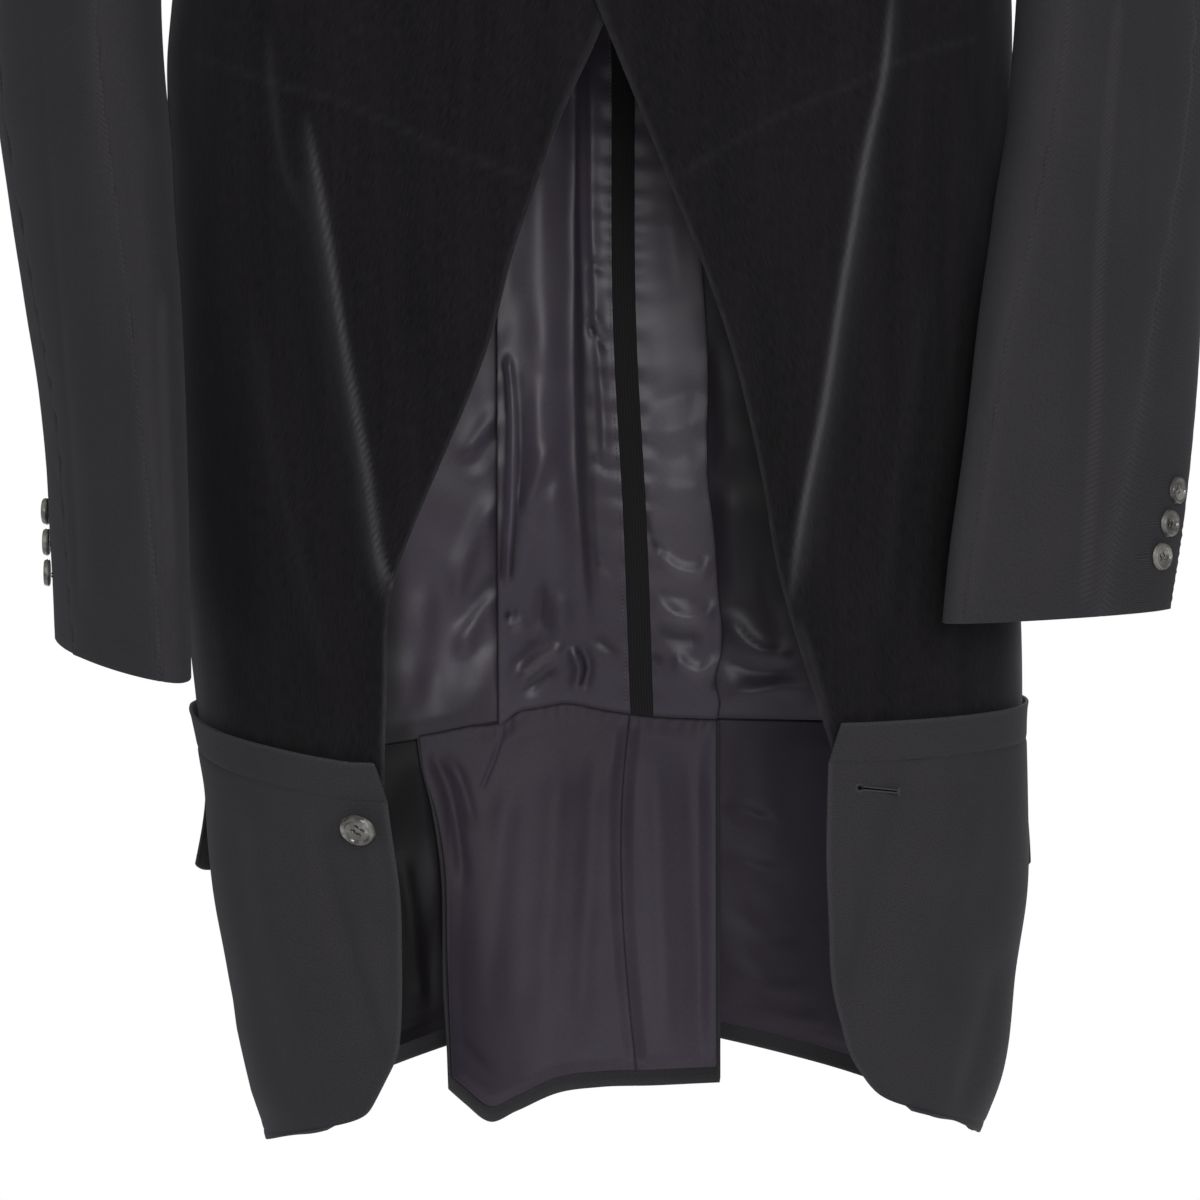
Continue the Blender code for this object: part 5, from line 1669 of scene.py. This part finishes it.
def build_side_lining(side):
    word = WORD[side]
    seam, top = SEAM_LEVEL[side][2], UNDERARM_Z - 2
    u = np.linspace(0, 1, 97)
    inset = WOOL + 0.45 + 1.6 * np.minimum(np.minimum(8 * u, 1), 2.5 * (1 - u))
    net = []
    for t in np.linspace(0, 1, 14):
        level = seam * (1 - t) + top * t
        start = turn_at_seam(BODY, level)
        stop = 2 - turn_at_x(BODY, side, SIDE_LINING_END[side], level)
        turn = start + (stop - start) * u
        z = (seam_level(side, turn) + 0.8) * (1 - t) + top * t
        net.append(skin(BODY, side, turn, z, -inset))
    grid = sagging(fine_rows(np.array(net), np.linspace(0, len(net) - 1, 151)))
    first, last, low, high = edge_distance(grid)
    folds = 1.8 * stroke_field(grid, SIDE_LINING_STROKES)
    folds += 0.8 * ripple(grid, 180 + side, 70, (1, 0.4, 0.25))
    folds += 0.35 * ripple(grid, 184 + side, 30, (1, 0.4, 0.4))
    inward = np.clip(1.3 + folds, 0.0, 7.0) * ease((first, 18), (low, 10), (high, 20))
    inward = inward * (0.25 + 0.75 * ease((last, 26)))
    pair = fine_pair(grid, side, SATIN, -inward, (HALF_SEAM, 0, HALF_SEAM, 0))
    # Painted shade: dark areas deep inside, along the seams and in the folds
    dim = painted_patches(grid, SIDE_LINING_DIM)
    dim = np.maximum.reduce([dim, seam_dark(low, last), fold_dark(grid)])
    cloth_piece(f"inside_side_{word}", f"side_lining_{word}", grid, pair[::-1], -side, "satin",
                marks={"dim": dim})


for lower_side in (1, -1):
    build_lower_front(lower_side)
    build_side_back(lower_side)
    build_side_back_lining(lower_side)
    build_flap(lower_side)
for tail_part in (1, -1):
    build_tail(tail_part)
    build_tail_lining(tail_part)
build_back_lining("left")
build_back_lining("right")
build_tape()
for lining_side in (1, -1):
    build_side_lining(lining_side)


# Buttons, thread and buttonholes
# Sizes of a button's parts as shares of its diameter: place of the holes each way from the
# middle, radius of a hole, width of the lip
HOLE_AT, HOLE_RADIUS, LIP = 0.094, 0.058, 0.11
BUTTON_TURNS = 60
LOWER_BUTTON = (125.0, -746.6)
CLOSURE_BUTTON = (10.0, -294.0)
CUFF_BUTTON_TOP = {1: -572.0, -1: -588.0}
CORD_SIDES = 8
# Buttonhole in the front view: its two ends, and the radius of its eye
HOLE_START, HOLE_END, HOLE_EYE = np.array([858.0, 786.8]), np.array([896.5, 790.5]), 3.9


def button_height(radius, size):
    """Height of a button's face at a distance from its middle."""
    r, lip = size / 2, LIP * size
    dish = max(0.0, 1 - (radius / (r - 1.8 * lip)) ** 2)
    bump = math.exp(-((radius - (r - 0.85 * lip)) / (0.62 * lip)) ** 4)
    edge = (max(0.0, radius - (r - 0.5 * lip)) / (0.5 * lip)) ** 2
    return 2.0 - 0.35 * dish + 1.15 * bump - 1.1 * edge


def button_mesh(size):
    """Disc with a raised polished rim, a dished middle and four holes."""
    r, hole, at = size / 2, HOLE_RADIUS * size, HOLE_AT * size
    radii = (*np.linspace(0.4, r * 0.62, 18), *np.linspace(r * 0.62, r, 17)[1:])
    rings = [(radius, button_height(radius, size)) for radius in radii]
    rings += [(r, 0.9), (r - 0.35, 0.3), (r - 0.9, 0.0)]
    count = BUTTON_TURNS
    points = [(0, 0, button_height(0, size))]
    for radius, height in rings:
        for a in np.arange(count) * 2 * np.pi / count:
            x, y, z = radius * math.cos(a), radius * math.sin(a), height
            if radius < r * 0.6:
                near = np.array(math.hypot(abs(x) - at, abs(y) - at))
                z -= 1.5 * (1 - smooth_step(hole * 0.75, hole * 1.15, near))
            points.append((x, y, float(z)))
    faces = [(0, 1 + k, 1 + (k + 1) % count) for k in range(count)]
    last = 1 + (len(rings) - 1) * count
    for a in range(1, last, count):
        for k in range(count):
            n = (k + 1) % count
            faces.append((a + k, a + count + k, a + count + n, a + n))
    faces.append(tuple(range(last, last + count))[::-1])
    return points, faces


def placing(spot, normal, spin):
    """Matrix that takes a mesh to a point, with its Z along the normal."""
    axis = Vector([float(v) for v in normal]).normalized()
    turn = Vector((0, 0, 1)).rotation_difference(axis).to_matrix().to_4x4()
    move = Matrix.Translation(Vector([float(v) * MM for v in spot]))
    return move @ turn @ Matrix.Rotation(spin, 4, "Z")


def build_button(name, size, spot, normal, spin):
    normal = unit(np.asarray(normal, float))
    place = placing(spot + normal * SEAM, normal, spin)
    disc = small_part(f"{name}_disc", *button_mesh(size), "horn", "horn", place)
    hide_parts(name)
    at = HOLE_AT * size
    steps = np.linspace(0, 1, 13)
    threads = []
    for x in (-at - 0.16, -at + 0.16, at - 0.16, at + 0.16):
        line = [(x, at * (2 * t - 1), 0.9 + 0.86 * math.sin(math.pi * t) ** 0.45) for t in steps]
        threads.append(tube(line, 0.13))
    small_part(f"{name}_thread", *merged(threads), "thread", "tape", place)


def on_cloth(rings, side, x, z, out=0.0):
    """Point on the cloth at a width and level, and the direction out of it."""
    turn = turn_at_x(rings, side, x, z)
    spot = skin(rings, side, turn, z, out)
    return spot, skin(rings, side, turn, z, out + 1) - spot


def build_lower_button():
    """Button of the lower front, which hangs on a stem of thread."""
    spot, normal = on_cloth(SKIRT, -1, *LOWER_BUTTON)
    droop = math.radians(BUTTON_DROOP)
    lift = (FRONT_BUTTON / 2 - 1.0) * math.sin(droop)
    stem = [spot + normal * (0.4 + (lift + 0.2) * t) for t in np.linspace(0, 1, 6)]
    small_part("button_stem", *tube(stem, 1.1, 12), "thread", "tape")
    tipped = math.cos(droop) * normal + math.sin(droop) * np.array([0, 0, -1.0])
    build_button("button_lower", FRONT_BUTTON, spot + lift * normal, tipped, 0.5)


def sleeve_spot(side, z, degrees):
    """Point and normal on the sleeve at a height, by its angle round the ring."""
    rows = np.array(SLEEVE[side], float)[::-1]
    values = [float(curve(rows[:, 0], rows[:, c], z)) for c in range(1, 7)]
    return sleeve_point(side, (z, *values), np.radians(degrees))


def cuff_place(side, i):
    """Level and angle round the sleeve of a cuff button, counted from above."""
    return CUFF_BUTTON_TOP[side] - CUFF_BUTTON_GAP * i, CUFF_BUTTON_ANGLE[side] + 2.5 * i


def build_cuff_buttons(side):
    for i in range(3):
        spot, normal = sleeve_spot(side, *cuff_place(side, i))
        spot = spot + CUFF_BUTTON_LIFT[side] * normal
        name = f"cuff_button_{WORD[side]}_{i + 1}"
        build_button(name, CUFF_BUTTON, spot, normal, 0.2 + 0.5 * i)


def on_left_front(column, row, out):
    """Point on the left lower front seen at a column and row of the front view."""
    y = -125.0
    for _ in range(6):
        scale = view_scale(y)
        x, z = (column - VIEW_MIDDLE) * scale, EYE_Z - (row - EYE_ROW) * scale
        spot, _ = on_cloth(SKIRT, 1, abs(x), z, out)
        y = spot[1]
    return spot


def corded(name, lines, radius, look="wool_thread"):
    """Stitched cords: thin ribbed tubes along lines."""
    parts = []
    for line in lines:
        points, faces = tube(line, radius, CORD_SIDES)
        middle = np.repeat(np.array(line), CORD_SIDES, axis=0)
        swell = 1 + 0.16 * np.sin(np.arange(len(middle)) // CORD_SIDES * 2.1)
        parts.append((list(middle + (np.array(points) - middle) * swell[:, None]), faces))
    small_part(name, *merged(parts), look, "wool")


def hole_line(places, out):
    """Points of the buttonhole from places (along, aside) in pixels of the front view."""
    ahead = unit(HOLE_END - HOLE_START)
    over = np.array([ahead[1], -ahead[0]])
    return [on_left_front(*(HOLE_START + ahead * s + over * w), out) for s, w in places]


def build_buttonhole():
    rail = [(5 + s * 35.5, 1.5 + 0.9 * np.exp(-s * 9)) for s in np.linspace(0, 1, 40)]
    eye = [(2.2 + HOLE_EYE * math.cos(a), HOLE_EYE * math.sin(a))
           for a in np.radians(np.linspace(35, 325, 26))]
    edge = rail[::-1] + eye + [(along, -aside) for along, aside in rail]
    corded("buttonhole_edge", [hole_line(edge, 0.35)], 0.5)
    bar = [(41.5, aside) for aside in np.linspace(-4.2, 4.2, 12)]
    corded("buttonhole_bar", [hole_line(bar, 0.5)], 0.7)
    slit = [(along, 0) for along in np.linspace(4, 39, 30)]
    # Painted shade: near-black cords stand in for the shadow in the slit and the eye of the buttonhole
    corded("buttonhole_slit_shade", [hole_line(slit, 0.3)], 0.3, "shade")
    dark = [(along, 0) for along in np.linspace(0.6, 3.6, 8)]
    corded("buttonhole_eye_shade", [hole_line(dark, -0.35)], 1.15, "shade")


def build_cuff_stitches():
    """Two rows of stitches behind each cuff button."""
    lines = []
    for side in (1, -1):
        for i in range(3):
            z, degrees = cuff_place(side, i)
            for lift in (-0.75, 0.75):
                line = []
                for angle in np.linspace(degrees + 9.5, degrees + 18.5, 18):
                    spot, normal = sleeve_spot(side, z, angle)
                    line.append(spot + 0.25 * normal + (0, 0, lift))
                lines.append(line)
    corded("cuff_stitches", lines, 0.36)


build_lower_button()
build_button("button_closure", FRONT_BUTTON, *on_cloth(BODY, 1, *CLOSURE_BUTTON, LAP), 0.3)
for cuff_side in (1, -1):
    build_cuff_buttons(cuff_side)
build_buttonhole()
build_cuff_stitches()


# Camera, floor and light
CAMERA_BACK = 2.7735
CAMERA_HEIGHT = -0.465
CAMERA_PITCH = 0.06088
MIDDLE = (0, 0, -0.55)
FLOOR_RADIUS = 2.0
FLOOR_HEIGHT = -1.35
FLOOR_STEPS = 96


def look_at(obj, target):
    way = Vector(target) - obj.location
    obj.rotation_euler = way.to_track_quat("-Z", "Y").to_euler()


def softbox(name, place, size, power, tint=(1, 1, 1)):
    data = bpy.data.lights.new(name, "AREA")
    data.shape = "RECTANGLE"
    data.size, data.size_y = size
    data.energy = power
    data.color = tint
    obj = linked(name, data)
    obj.location = place
    look_at(obj, MIDDLE)


def build_camera():
    camera = linked("camera", bpy.data.cameras.new("camera"))
    camera.location = (0, -CAMERA_BACK, CAMERA_HEIGHT)
    look_at(camera, (0, 0, CAMERA_HEIGHT - CAMERA_BACK * math.tan(CAMERA_PITCH)))
    camera.data.lens = 152.65
    camera.data.sensor_width = 36
    camera.data.clip_end = 50
    bpy.context.scene.camera = camera


def build_floor():
    turns = np.arange(FLOOR_STEPS) * 2 * math.pi / FLOOR_STEPS
    points = [(FLOOR_RADIUS * math.cos(a), FLOOR_RADIUS * math.sin(a), 0) for a in turns]
    faces = [(0, 1 + k, 1 + (k + 1) % FLOOR_STEPS) for k in range(FLOOR_STEPS)]
    mesh = bpy.data.meshes.new("floor")
    mesh.from_pydata([(0, 0, 0)] + points, [], faces)
    mesh.update()
    mat, tree = new_material("pale_floor")
    noise = node(tree, "ShaderNodeTexNoise", {"Scale": 3.0}).outputs["Fac"]
    feed(tree, tree.nodes["Principled BSDF"], {
        "Base Color": mixed(tree, (0.86, 0.86, 0.86, 1), (0.90, 0.90, 0.90, 1), noise),
        "Roughness": 0.9,
        "Emission Color": (1, 1, 1, 1),
        "Emission Strength": 0.1,
    })
    mesh.materials.append(mat)
    floor = linked("floor", mesh)
    floor.location = (0, 0, FLOOR_HEIGHT)
    return floor


def build_world():
    """White behind the jacket for the camera, and a weaker white light on it."""
    world = bpy.data.worlds.new("studio")
    bpy.context.scene.world = world
    world.use_nodes = True
    tree = world.node_tree
    ambient = tree.nodes["Background"]
    feed(tree, ambient, {"Color": (1, 1, 1, 1), "Strength": 0.2})
    seen = node(tree, "ShaderNodeBackground", {"Color": (1, 1, 1, 1), "Strength": 1.0})
    camera_ray = node(tree, "ShaderNodeLightPath").outputs["Is Camera Ray"]
    blend = node(tree, "ShaderNodeMixShader", {
        "Fac": camera_ray,
        1: ambient.outputs["Background"],
        2: seen.outputs["Background"],
    })
    feed(tree, tree.nodes["World Output"], {"Surface": blend.outputs["Shader"]})


build_camera()
softbox("light_left", (-2.6, -2.2, 0.6), (1.6, 2.2), 12, (0.98, 0.98, 1.0))
softbox("light_right", (1.5, -3.0, 0.5), (1.2, 2.0), 30, (1.0, 0.99, 0.98))
softbox("light_front", (0.25, -3.6, -0.1), (0.9, 1.2), 42)
softbox("light_behind", (0.3, 2.6, 0.9), (2.0, 1.6), 60)
floor = build_floor()
build_world()
bpy.context.scene.view_settings.view_transform = "Standard"
